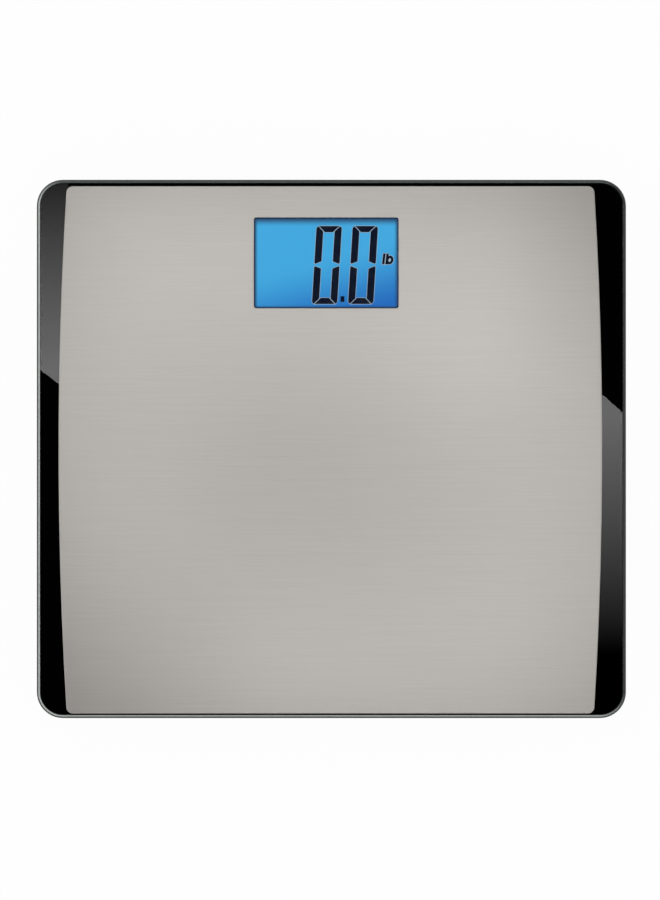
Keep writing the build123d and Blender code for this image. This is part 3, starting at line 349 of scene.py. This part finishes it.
# %% [markdown]
# ## Rubber, foam and vinyl
# The foot pads are moulded rubber, which has no sheen and a faint dusty bloom. The tape and the
# gasket are closed-cell foam, whose cut edge shows its cells. The leads have a soft vinyl jacket
# with a little gloss.

# %% Soft materials
BLOOM, DIMPLE_DEPTH = 17 * MM, 0.05 * MM


def soft_rubber(name, dark, light, roughness, cell):
    """Rubber, foam or vinyl: a dull face, dimpled by its cells and dusted with bloom."""
    material, tree, place = start_material(name)
    cells = add_node(tree, "TexVoronoi", Vector=place, Scale=1 / cell)
    bloom = add_node(tree, "TexNoise", Vector=place, Scale=1 / BLOOM, Detail=4.0)
    tone = add_node(tree, "Mix", COLOURS, Factor=bloom, in_6=linear(dark), in_7=linear(light))
    bump = add_node(tree, "Bump", Height=cells, Strength=0.35, Distance=DIMPLE_DEPTH)
    shader = add_node(
        tree, "BsdfPrincipled", Base_Color=tone.outputs[2], Roughness=roughness, IOR=1.52,
        Normal=bump,
    )
    add_node(tree, "OutputMaterial", Surface=shader)
    return material


vinyl = soft_rubber("vinyl_jacket_grey", "#6E7073", "#7C7E81", 0.45, 1.0 * MM)
dress(vinyl, "cell_leads", "battery_leads", "button_lead")
foam = soft_rubber("foam_closed_cell_black", "#141414", "#202020", 0.9, 0.4 * MM)
dress(foam, "bonding_tape", "display_gasket")
pad_rubber = soft_rubber("rubber_moulded_matt", "#262626", "#3A3938", 0.85, 0.5 * MM)
dress(pad_rubber, *every("foot_pad"))
dress(soft_rubber("adhesive_film_clear", "#D8D8D0", "#E2E2DA", 0.6, 2.0 * MM), "plate_film")

# %% [markdown]
# ## Plated metals
# The screws are steel with bright zinc plate, and the load cells and battery contacts are plated
# with nickel. All are smooth metal with a slight mottle from the plating bath, coarser on the
# stamped cells.

# %% Plated metals
MOTTLE_SPREAD = 0.06


def plated_metal(name, dark, light, roughness, mottle):
    """Electroplated steel: a bright metal whose gloss is slightly mottled."""
    material, tree, place = start_material(name)
    spots = add_node(tree, "TexNoise", Vector=place, Scale=1 / mottle, Detail=3.0)
    tone = add_node(tree, "Mix", COLOURS, Factor=spots, in_6=linear(dark), in_7=linear(light))
    rough = add_node(
        tree, "MapRange", Value=spots, **NOISE_SPAN,
        To_Min=roughness - MOTTLE_SPREAD, To_Max=roughness + MOTTLE_SPREAD,
    )
    shader = add_node(
        tree, "BsdfPrincipled", Base_Color=tone.outputs[2], Metallic=1.0, Roughness=rough
    )
    add_node(tree, "OutputMaterial", Surface=shader)
    return material


zinc = plated_metal("zinc_plate_bright", "#C4C8CC", "#D6D9DC", 0.25, 2 * MM)
dress(zinc, "base_screws", "retainer_screws", "board_screws", "button_board_screws")
dress(zinc, *every("foot_screw"))
cell_nickel = plated_metal("nickel_plate_on_stamped_steel", "#ABA79F", "#BFBAB2", 0.3, 6 * MM)
dress(cell_nickel, *every("load_cell"))
spring_nickel = plated_metal("nickel_plate_on_spring_steel", "#CFC9BE", "#DDD8CE", 0.18, 3 * MM)
dress(spring_nickel, "contact_plates", "contact_springs")

# %% [markdown]
# ## Circuit boards and the striped rubber
# The boards are glass-fibre laminate under green solder mask, with copper tracks that show through
# as lighter lines. A brick pattern gives tracks that run straight and turn at right angles. The
# rubber strips are made of conducting and insulating slices by turns. They are really about a
# tenth of a millimetre thick, and are drawn half a millimetre thick so that they show. A wave
# texture turns twenty radians for each unit of its scale.

# %% Boards and striped rubber
TRACK_SPACING, SLICE_PAIR = 8 * MM, 1.0 * MM
WAVE_RADIANS = 20


def solder_mask():
    """Cured green resin over copper: glossy, with paler lines where the tracks run."""
    material, tree, place = start_material("solder_mask_green")
    tracks = add_node(
        tree, "TexBrick", {"offset": 0.37}, Vector=place, Scale=1 / TRACK_SPACING, Mortar_Size=0.05,
        Color1=linear("#0E4A26"), Color2=linear("#105029"), Mortar=linear("#2B7A46"),
    )
    shader = add_node(tree, "BsdfPrincipled", Base_Color=tracks, Roughness=0.3, IOR=1.5)
    add_node(tree, "OutputMaterial", Surface=shader)
    return material


def striped_rubber():
    """Silicone in slices, black where it conducts and pale where it does not."""
    material, tree, place = start_material("silicone_rubber_striped")
    rate = 2 * math.pi / (WAVE_RADIANS * SLICE_PAIR)
    wave = add_node(tree, "TexWave", Vector=place, Scale=rate)
    tone = add_node(
        tree, "Mix", COLOURS, Factor=wave, in_6=linear("#2A2A2C"), in_7=linear("#C9B9B4")
    )
    shader = add_node(tree, "BsdfPrincipled", Base_Color=tone.outputs[2], Roughness=0.6)
    add_node(tree, "OutputMaterial", Surface=shader)
    return material


dress(solder_mask(), "main_board", "button_board")
dress(striped_rubber(), "zebra_strips")

# %% [markdown]
# ## Batteries
# The cells are plain: a grey-green printed sleeve on a steel can, with one pale band near the
# positive end. Neighbours lie head to tail, so the band changes ends from one cell to the next. A
# ramp along the cell's length, turned round for every second cell, places it.

# %% Battery sleeves
BANDS = ((0.0, "#B9B9B6"), (0.03, "#52655A"), (0.80, "#C6CBC2"), (0.965, "#B9B9B6"))
SLEEVE_WEAR = 5 * MM


def battery_sleeve(cell):
    """Printed film shrunk on a steel can: satin colour, bare metal at the positive end."""
    low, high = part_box(cell)
    foot, head = (low.y, high.y) if int(cell[-1]) % 2 else (high.y, low.y)
    material, tree, place = start_material("sleeve_printed_" + cell)
    y = add_node(tree, "SeparateXYZ", Vector=place).outputs["Y"]
    share = add_node(tree, "MapRange", Value=y, From_Min=foot, From_Max=head)
    bands = add_node(tree, "ValToRGB", Fac=share)
    bands.color_ramp.interpolation = "CONSTANT"
    while len(bands.color_ramp.elements) < len(BANDS):
        bands.color_ramp.elements.new(0.5)
    for element, (position, colour) in zip(bands.color_ramp.elements, BANDS):
        element.position = position
        element.color = linear(colour)
    metal = add_node(tree, "Math", {"operation": "GREATER_THAN"}, in_0=share, in_1=BANDS[-1][0])
    wear = add_node(tree, "TexNoise", Vector=place, Scale=1 / SLEEVE_WEAR, Detail=3.0)
    rough = add_node(tree, "MapRange", Value=wear, To_Min=0.22, To_Max=0.4)
    shader = add_node(tree, "BsdfPrincipled", Base_Color=bands, Metallic=metal, Roughness=rough)
    add_node(tree, "OutputMaterial", Surface=shader)
    return material


for cell in ("battery_1", "battery_2", "battery_3", "battery_4"):
    dress(battery_sleeve(cell), cell)

# %% [markdown]
# ## The lit display
# Behind the window is a liquid crystal panel with a blue backlight. The light is even over the
# upper part and deeper towards the lower right, away from the lamps. The frame above it shades a
# thin line along its edges, widest at the rear. All of it is in the panel's own millimetres,
# measured from the middle of the window.

# %% Where the window is
GASKET_WIDTH = 2.5 * MM
panel_low, panel_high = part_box("lcd_panel")
window_middle = (panel_low + panel_high) / 2
panel_top = panel_high.z
gasket_low, gasket_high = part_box("display_gasket")
window_half_x = (gasket_high.x - gasket_low.x) / 2 - GASKET_WIDTH
window_half_y = (gasket_high.y - gasket_low.y) / 2 - GASKET_WIDTH
print("window", round(2 * window_half_x / MM, 1), "by", round(2 * window_half_y / MM, 1), "mm")

# %% [markdown]
# A lit panel is a dark glass that glows, so its picture goes into the shader's emission. The four
# shaded edges are the same ramp with four widths, multiplied together.

# %% Blue backlit panel
DEEPENING, DEEPENING_SLANT = {"From_Min": -6 * MM, "From_Max": 44 * MM}, 0.25
SHADE_START = 0.2 * MM
SHADE_REAR, SHADE_FRONT, SHADE_LEFT, SHADE_RIGHT = 6.2 * MM, 2.2 * MM, 3.0 * MM, 3.4 * MM


def backlit_panel():
    """Polarised glass over a blue light guide: an even glow that deepens away from the lamps."""
    material, tree, place = start_material("lcd_glass_blue_backlight")
    shifted = add_node(tree, "Mapping", Vector=place, Location=-window_middle)
    x, y, _ = add_node(tree, "SeparateXYZ", Vector=shifted).outputs
    across = add_node(tree, "Math", {"operation": "MULTIPLY"}, in_0=x, in_1=DEEPENING_SLANT)
    fall = add_node(tree, "Math", {"operation": "SUBTRACT"}, in_0=across, in_1=y)
    deep = add_node(tree, "MapRange", SMOOTH, Value=fall, **DEEPENING)
    glow = add_node(
        tree, "Mix", COLOURS, Factor=deep, in_6=linear("#45A6E0"), in_7=linear("#2366BC")
    )
    for along, way, half, width in (
        (y, -1, window_half_y, SHADE_REAR), (y, 1, window_half_y, SHADE_FRONT),
        (x, 1, window_half_x, SHADE_LEFT), (x, -1, window_half_x, SHADE_RIGHT),
    ):
        inside = add_node(
            tree, "Math", {"operation": "MULTIPLY_ADD"}, in_0=along, in_1=way, in_2=half
        )
        lit = add_node(tree, "MapRange", SMOOTH, Value=inside, From_Min=SHADE_START, From_Max=width)
        glow = add_node(
            tree, "Mix", COLOURS, Factor=lit, in_6=linear("#2E4468"), in_7=glow.outputs[2]
        )
    shader = add_node(
        tree, "BsdfPrincipled", Base_Color=linear("#0C1A2A"), Roughness=0.15,
        Specular_IOR_Level=0.05, Emission_Color=glow.outputs[2], Emission_Strength=1.25,
    )
    add_node(tree, "OutputMaterial", Surface=shader)
    return material


dress(backlit_panel(), "lcd_panel")

# %% [markdown]
# ## The reading
# The display reads 0.0 lb. Each digit is six bars of the usual seven. A bar starts as a flat plane
# at its place, is cut to a mitre at each end, and is raised to a thin sheet, all with the tools
# that a hand would use. On the real panel the bars are cells of dark crystal behind the front
# glass. Here they lie on the panel's face.

# %% One mitred bar
BAR_LIFT, BAR_THICK = 0.04 * MM, 0.06 * MM
CUT_PRECISION = 0.0001 * MM


def deselect():
    bpy.ops.object.select_all(action="DESELECT")


def cut_away(point, outward):
    """Cuts the piece in edit mode along a line, and drops the side that outward points to."""
    bpy.ops.mesh.select_all(action="SELECT")
    normal = Vector(outward).normalized()
    bpy.ops.mesh.bisect(plane_co=point, plane_no=normal, clear_outer=True, threshold=CUT_PRECISION)


def stretch_between(piece, low, high, z):
    """Stretches a new flat piece, one unit across, to lie between two corners."""
    piece.scale = (high[0] - low[0], high[1] - low[1], 1)
    piece.location = ((low[0] + high[0]) / 2, (low[1] + high[1]) / 2, z)
    bpy.ops.object.transform_apply(location=True, rotation=True, scale=True)


def raise_sheet(thick):
    """Raises the flat piece in edit mode to a closed sheet, and leaves edit mode."""
    bpy.ops.mesh.select_all(action="SELECT")
    bpy.ops.mesh.extrude_region_move(TRANSFORM_OT_translate={"value": (0, 0, thick)})
    bpy.ops.mesh.select_all(action="SELECT")
    bpy.ops.mesh.normals_make_consistent(inside=False)
    bpy.ops.object.mode_set(mode="OBJECT")


def cut_plane(low, high, cuts, z):
    """A flat piece between two corners, cut along lines, and left in edit mode."""
    deselect()
    bpy.ops.mesh.primitive_plane_add(size=1)
    piece = bpy.context.object
    stretch_between(piece, low, high, z)
    bpy.ops.object.mode_set(mode="EDIT")
    for point, outward in cuts:
        cut_away((*point, z), (*outward, 0))
    return piece


def bar(low, high, cuts, z, thick):
    """A flat bar between two corners, mitred by the cuts and raised to a sheet."""
    piece = cut_plane(low, high, cuts, z)
    raise_sheet(thick)
    return piece


thick_mm, lift_mm = round(BAR_THICK / MM, 2), round(BAR_LIFT / MM, 2)
print("a bar is", thick_mm, "mm thick and lies", lift_mm, "mm over the panel")

# %% [markdown]
# A zero has a bar at its head and foot and two on each side. Thin clear lines part the bars at the
# corners and at half height. On the real panel those lines are a little paler than the light
# around them, so each digit also gets a halo: the same six bars, a hair wider and with no gaps, in
# a pale sheet just below.

# %% Six bars of a zero
DIGIT_WIDTH, DIGIT_HEIGHT = 17.5 * MM, 53.8 * MM
SIDE_STROKE, END_STROKE = 4.85 * MM, 4.3 * MM
GAP = 0.6 * MM
CORNER_CUT = 1.4 * MM
TIP_GAP, TIP_RISE, TIP_CUT = 0.5 * MM, 2.0 * MM, 1.0 * MM
HALO_GROW, HALO_THICK = 0.3 * MM, 0.03 * MM


def digit_bars(grow, gap, z, thick):
    """The six bars of an upright zero with its foot at the origin. grow widens each of them."""
    bars = []
    for up in (-1, 1):
        edge = DIGIT_HEIGHT / 2 + up * DIGIT_HEIGHT / 2
        tip = DIGIT_HEIGHT / 2 + up * (TIP_GAP - grow)
        end_cuts = []
        for side in (-1, 1):
            outer_x = DIGIT_WIDTH / 2 + side * DIGIT_WIDTH / 2
            mitre_x = outer_x - side * CORNER_CUT
            corner = ((mitre_x + side * grow, edge), (side, up))
            end_cuts += [corner, ((mitre_x - side * gap / 2, edge), (side, -up))]
            side_cuts = [
                corner,
                ((mitre_x + side * gap / 2, edge), (-side, up)),
                ((outer_x, tip), (-side * TIP_RISE, -up * SIDE_STROKE)),
                ((outer_x + side * grow, tip + up * TIP_CUT), (side, -up)),
            ]
            low_x, high_x = sorted((outer_x + side * grow, outer_x - side * (SIDE_STROKE + grow)))
            low_y, high_y = sorted((tip, edge + up * grow))
            bars.append(bar((low_x, low_y), (high_x, high_y), side_cuts, z, thick))
        low_y, high_y = sorted((edge + up * grow, edge - up * (END_STROKE + grow)))
        bars.append(bar((-grow, low_y), (DIGIT_WIDTH + grow, high_y), end_cuts, z, thick))
    return bars


def join(pieces, name):
    deselect()
    for piece in pieces:
        piece.select_set(True)
    bpy.context.view_layer.objects.active = pieces[0]
    bpy.ops.object.join()
    pieces[0].name = name
    return pieces[0]


zero = join(digit_bars(0.0, GAP, panel_top + BAR_LIFT, BAR_THICK), "digit_units")
halo = join(digit_bars(HALO_GROW, 0.0, panel_top, HALO_THICK), "digit_halo_units")
print("bars of a digit:", len(zero.data.polygons), "faces, halo:", len(halo.data.polygons), "faces")

# %% [markdown]
# The digits lean to the right, and the two are the same drawing, so the second is a copy with its
# own mesh. A lean is a turn, a stretch along one axis with a squeeze along the other, and a turn
# back by a little less. Each step is applied to the mesh before the next.

# %% Lean and place the digits
DIGIT_LEAN = math.tan(math.radians(3.5))
DIGIT_FOOT = -28.3 * MM
TENS_LEFT, UNITS_LEFT = -10.0 * MM, 14.9 * MM


def copy_piece(piece, name):
    twin = piece.copy()
    twin.data = piece.data.copy()
    twin.name = name
    scene.collection.objects.link(twin)
    return twin


def lean_and_place(piece, lean, x, y):
    """Leans an upright drawing by a slope, and moves its foot to a place in the window."""
    deselect()
    piece.select_set(True)
    bpy.context.view_layer.objects.active = piece
    stretch = (lean + math.hypot(lean, 2)) / 2
    for change, value in (
        ("rotation_euler", (0, 0, -math.atan2(2, -lean) / 2)),
        ("scale", (stretch, 1 / stretch, 1)),
        ("rotation_euler", (0, 0, math.atan2(2, lean) / 2)),
        ("location", (window_middle.x + x, window_middle.y + y, 0)),
    ):
        setattr(piece, change, value)
        bpy.ops.object.transform_apply(location=True, rotation=True, scale=True)


tens, halo_tens = copy_piece(zero, "digit_tens"), copy_piece(halo, "digit_halo_tens")
for left, pieces in ((UNITS_LEFT, (zero, halo)), (TENS_LEFT, (tens, halo_tens))):
    for piece in pieces:
        lean_and_place(piece, DIGIT_LEAN, left, DIGIT_FOOT)
print("digits lean", round(math.degrees(math.atan(DIGIT_LEAN)), 1), "degrees")

# %% [markdown]
# Between the digits at the foot is the point, a bar with no mitres. On the right are the letters
# of the unit in a bold slanted type. Two bars are their stems. The bowl is a disc whose middle is
# inset by the stroke and taken out. The letters have a halo too, and there the bowl stays filled.

# %% The point and the unit
POINT_LOW, POINT_HIGH = (9.75 * MM, -26.9 * MM), (12.5 * MM, -22.9 * MM)
UNIT_LEFT, UNIT_FOOT, UNIT_LEAN = 38.35 * MM, -0.95 * MM, math.tan(math.radians(6.5))
UNIT_HEIGHT, UNIT_STROKE, STEM_SPACING = 7.5 * MM, 1.7 * MM, 2.25 * MM
BOWL_LOW, BOWL_HIGH, BOWL_POINTS = (2.4 * MM, -0.05 * MM), (7.6 * MM, 6.0 * MM), 32


def unit_pieces(grow, hollow, z, thick):
    """The stems of l and b and the bowl of b, upright. grow widens each of them."""
    pieces = []
    for left in (0.0, STEM_SPACING):
        low, high = (left - grow, -grow), (left + UNIT_STROKE + grow, UNIT_HEIGHT + grow)
        pieces.append(bar(low, high, [], z, thick))
    deselect()
    bpy.ops.mesh.primitive_circle_add(vertices=BOWL_POINTS, radius=0.5, fill_type="NGON")
    bowl = bpy.context.object
    stretch_between(bowl, [v - grow for v in BOWL_LOW], [v + grow for v in BOWL_HIGH], z)
    bpy.ops.object.mode_set(mode="EDIT")
    if hollow:
        bpy.ops.mesh.select_all(action="SELECT")
        bpy.ops.mesh.inset(thickness=UNIT_STROKE)
        bpy.ops.mesh.delete(type="FACE")
    raise_sheet(thick)
    return pieces + [bowl]


corners = [(window_middle.x + x, window_middle.y + y) for x, y in (POINT_LOW, POINT_HIGH)]
point = bar(*corners, [], panel_top + BAR_LIFT, BAR_THICK)
point.name = "digit_point"
unit = join(unit_pieces(0.0, True, panel_top + BAR_LIFT, BAR_THICK), "unit_letters")
halo_unit = join(unit_pieces(HALO_GROW, False, panel_top, HALO_THICK), "unit_halo")
for piece in (unit, halo_unit):
    lean_and_place(piece, UNIT_LEAN, UNIT_LEFT, UNIT_FOOT)
print("letters:", len(unit.data.polygons), "faces, halo:", len(halo_unit.data.polygons), "faces")

# %% [markdown]
# Dark liquid crystal lets almost no light through, and has the blue-black of crossed polarisers.
# The clear lines and the halo are the panel's own light with less blue in it. Both are a dark
# glass with a faint grain in its glow, so one function makes them.

# %% Finishes of the reading
def liquid_crystal(name, body, dark, light, grain):
    """A cell of liquid crystal between polarisers: dark glass that passes a given light."""
    material, tree, place = start_material(name)
    speckle = add_node(tree, "TexNoise", Vector=place, Scale=1 / grain, Detail=2.0)
    tone = add_node(tree, "Mix", COLOURS, Factor=speckle, in_6=linear(dark), in_7=linear(light))
    shader = add_node(
        tree, "BsdfPrincipled", Base_Color=linear(body), Roughness=0.3, Specular_IOR_Level=0.1,
        Emission_Color=tone.outputs[2], Emission_Strength=1.0,
    )
    add_node(tree, "OutputMaterial", Surface=shader)
    return material


crystal = liquid_crystal("liquid_crystal_dark", "#020308", "#0A0F20", "#10162C", 1.5 * MM)
clear_gap = liquid_crystal("liquid_crystal_clear_gap", "#20304A", "#A9B9D2", "#B9C4D6", 4 * MM)
reading = dict.fromkeys((zero, tens, point, unit), crystal)
reading.update(dict.fromkeys((halo, halo_tens, halo_unit), clear_gap))
for piece, finish in reading.items():
    piece.data.materials.clear()
    piece.data.materials.append(finish)
    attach(piece, "scale_body")
print("the reading is", len(reading), "pieces on the panel")

# %% [markdown]
# ## The studio
# The floor is plain white, so the picture's ground is white and the glass edge shows it. Away from
# the scale it glows like a light table, which also lights the underside. Under the scale it is
# matt white paper that takes the scale's own shadow. From below it is clear, so that the underside
# can be looked at.

# %% White floor
FLOOR_SIZE, FLOOR_DROP = 60.0, 0.05 * MM
GLOW_START, GLOW_FULL = -GLASS_CORNER, -2 * MM
SEEN_GLOW, LIT_GLOW = 0.97, 0.85


def luminous_floor():
    """White paper that glows away from the scale, with one share for looks and one for light."""
    material, tree, place = start_material("white_paper_on_light_table")
    outside = past_outline(tree, place)
    bright = add_node(
        tree, "MapRange", SMOOTH, Value=outside, From_Min=GLOW_START, From_Max=GLOW_FULL,
        To_Max=SEEN_GLOW,
    )
    path = add_node(tree, "LightPath").outputs
    seen = path["Is Camera Ray"]
    for ray in ("Is Glossy Ray", "Is Transmission Ray"):
        seen = add_node(tree, "Math", {"operation": "MAXIMUM"}, in_0=seen, in_1=path[ray])
    share = add_node(tree, "Mix", Factor=seen, A=LIT_GLOW, B=bright)
    white = add_node(tree, "Emission", Color=linear("#FFFFFF"), Strength=1.0)
    matt = add_node(tree, "BsdfDiffuse", Color=linear("#F2F2F0"))
    front = add_node(tree, "MixShader", Fac=share, in_1=matt, in_2=white)
    back = add_node(tree, "NewGeometry").outputs["Backfacing"]
    clear = add_node(tree, "BsdfTransparent")
    both = add_node(tree, "MixShader", Fac=back, in_1=front, in_2=clear)
    add_node(tree, "OutputMaterial", Surface=both)
    return material


deselect()
bpy.ops.mesh.primitive_plane_add(size=FLOOR_SIZE, location=(0, 0, -FLOOR_DROP))
floor = bpy.context.object
floor.name = "floor"
floor.data.materials.append(luminous_floor())
floor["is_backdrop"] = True
print("floor", FLOOR_SIZE, "m wide")

# %% [markdown]
# The walls are pale up to about sixty degrees, and the ceiling is dark, so the glass strips are
# black where nothing hangs above them. Two large soft windows in the walls, one to the left and a
# weaker one in front, make one side of each foot and screw a little lighter than the other.

# %% Pale walls and a dark ceiling
WALL_LIGHT, CEILING_LIGHT = 0.75, 0.01
WINDOW_LIGHT = {"X": 0.5, "Y": 0.3}
SILL, LINTEL = {"From_Min": 0.25, "From_Max": 0.4}, {"From_Min": 0.8, "From_Max": 0.9}
WINDOW_SIDE = {"From_Min": -0.5, "From_Max": -0.3}

world = bpy.data.worlds.new("studio")
scene.world = world
world.use_nodes = True
sky = world.node_tree
sky.nodes.clear()
direction = add_node(sky, "TexCoord").outputs["Generated"]
toward = add_node(sky, "SeparateXYZ", Vector=direction).outputs
up = toward["Z"]
level = add_node(
    sky, "MapRange", SMOOTH, Value=up, **LINTEL, To_Min=WALL_LIGHT, To_Max=CEILING_LIGHT
)
above = add_node(sky, "MapRange", SMOOTH, Value=up, **SILL)
below = add_node(sky, "MapRange", SMOOTH, Value=up, **LINTEL, To_Min=1.0, To_Max=0.0)
band = add_node(sky, "Math", {"operation": "MULTIPLY"}, in_0=above, in_1=below)
for axis, light in WINDOW_LIGHT.items():
    window = add_node(
        sky, "MapRange", SMOOTH, Value=toward[axis], **WINDOW_SIDE, To_Min=light, To_Max=0.0
    )
    level = add_node(
        sky, "Math", {"operation": "MULTIPLY_ADD"}, in_0=band, in_1=window, in_2=level
    )
background = add_node(sky, "Background", Color=linear("#FFFFFF"), Strength=level)
add_node(sky, "OutputWorld", Surface=background)
scene.view_settings.view_transform = "Standard"
print("walls", WALL_LIGHT, "ceiling", CEILING_LIGHT, "windows", WINDOW_LIGHT)

# %% [markdown]
# Cards hang over the platform. A large bright one with two corners cut off lights the steel. A dim
# flag just under its middle keeps the plate from shining most in the centre, and a black one keeps
# the display's glass clear. Higher up, a card on each side ends in a slanted edge, which shows as
# the grey reflection in the strip. A flat mirror seen from straight above shows the ceiling spread
# out from the middle: what is seen at a point of the glass lies further out by the share of the
# card's height in the camera's. So a card's corners are given as the points of the glass where
# their reflections fall, in millimetres and counter-clockwise, and each card is a plane that is
# cut along its sides.

# %% Cards over the platform
STEEL_HEIGHT, SIDE_HEIGHT, FLAG_DROP = 0.9, 1.6, 0.01
STEEL_LIGHT, FLAG_LIGHT, LEFT_LIGHT, RIGHT_LIGHT = 4.8, 0.13, 3.3, 3.1
STEEL_CARD = ((-180, -70), (-90, -177), (180, -177), (180, 58), (97, 177), (-180, 177))
STEEL_FLAG = ((-121, -128), (141, -138), (157, 58), (-169, 124))
LEFT_CARD = ((-420, 221), (-181, 40), (-181, 300), (-420, 300))
LEFT_FADE, LEFT_FALLOFF = (54, 205), 1.1
RIGHT_CARD = ((181, -300), (420, -300), (420, -174), (181, 43))
RIGHT_FADE, RIGHT_FALLOFF = (24, -142), 1.3


def card(name, corners, light, height, fade=None, falloff=1.0):
    """A glowing card with its corners in order, even or fading along Y between two places."""
    reflected = MM * (1 + height / CAMERA_HEIGHT)
    points = [Vector(corner) * reflected for corner in corners]
    sides = zip(points, points[1:] + points[:1])
    cuts = [(start, (end.y - start.y, start.x - end.x)) for start, end in sides]
    low, high = ([pick(axis) for axis in zip(*points)] for pick in (min, max))
    piece = cut_plane(low, high, cuts, glass_high.z + height)
    bpy.ops.object.mode_set(mode="OBJECT")
    piece.name = name
    material, tree, place = start_material(name + "_glow")
    level = light
    if fade:
        y = add_node(tree, "SeparateXYZ", Vector=place).outputs["Y"]
        bright, dark = (end * reflected for end in fade)
        rest = add_node(
            tree, "MapRange", Value=y, From_Min=bright, From_Max=dark, To_Min=1.0, To_Max=0.0
        )
        level = add_node(tree, "Math", {"operation": "POWER"}, in_0=rest, in_1=falloff)
        level = add_node(tree, "Math", {"operation": "MULTIPLY"}, in_0=level, in_1=light)
    glow = add_node(tree, "Emission", Color=linear("#FFFFFF"), Strength=level)
    add_node(tree, "OutputMaterial", Surface=glow)
    piece.data.materials.append(material)
    piece.visible_camera = False
    piece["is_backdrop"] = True
    print(name, "gives", light)


display_flag = [
    ((window_middle.x + side * window_half_x) / MM, (window_middle.y + up * window_half_y) / MM)
    for side, up in ((-1, -1), (1, -1), (1, 1), (-1, 1))
]
card("card_steel", STEEL_CARD, STEEL_LIGHT, STEEL_HEIGHT)
card("flag_steel", STEEL_FLAG, FLAG_LIGHT, STEEL_HEIGHT - FLAG_DROP)
card("flag_display", display_flag, 0.0, STEEL_HEIGHT - 2 * FLAG_DROP)
card("card_left", LEFT_CARD, LEFT_LIGHT, SIDE_HEIGHT, LEFT_FADE, LEFT_FALLOFF)
card("card_right", RIGHT_CARD, RIGHT_LIGHT, SIDE_HEIGHT, RIGHT_FADE, RIGHT_FALLOFF)

# %% [markdown]
# ## Compare the size
# The box of the dressed scale is compared with the construction's own, and how much larger it is
# is printed. Nothing that was added may stand out of the construction's own box.

# %% Compare the boxes and finish
visual_low, visual_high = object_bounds()
grown = [round((v - c) / MM, 2) for v, c in zip(visual_high - visual_low, cad_high - cad_low)]
print("the dressed scale is larger than the construction by", grown, "mm")
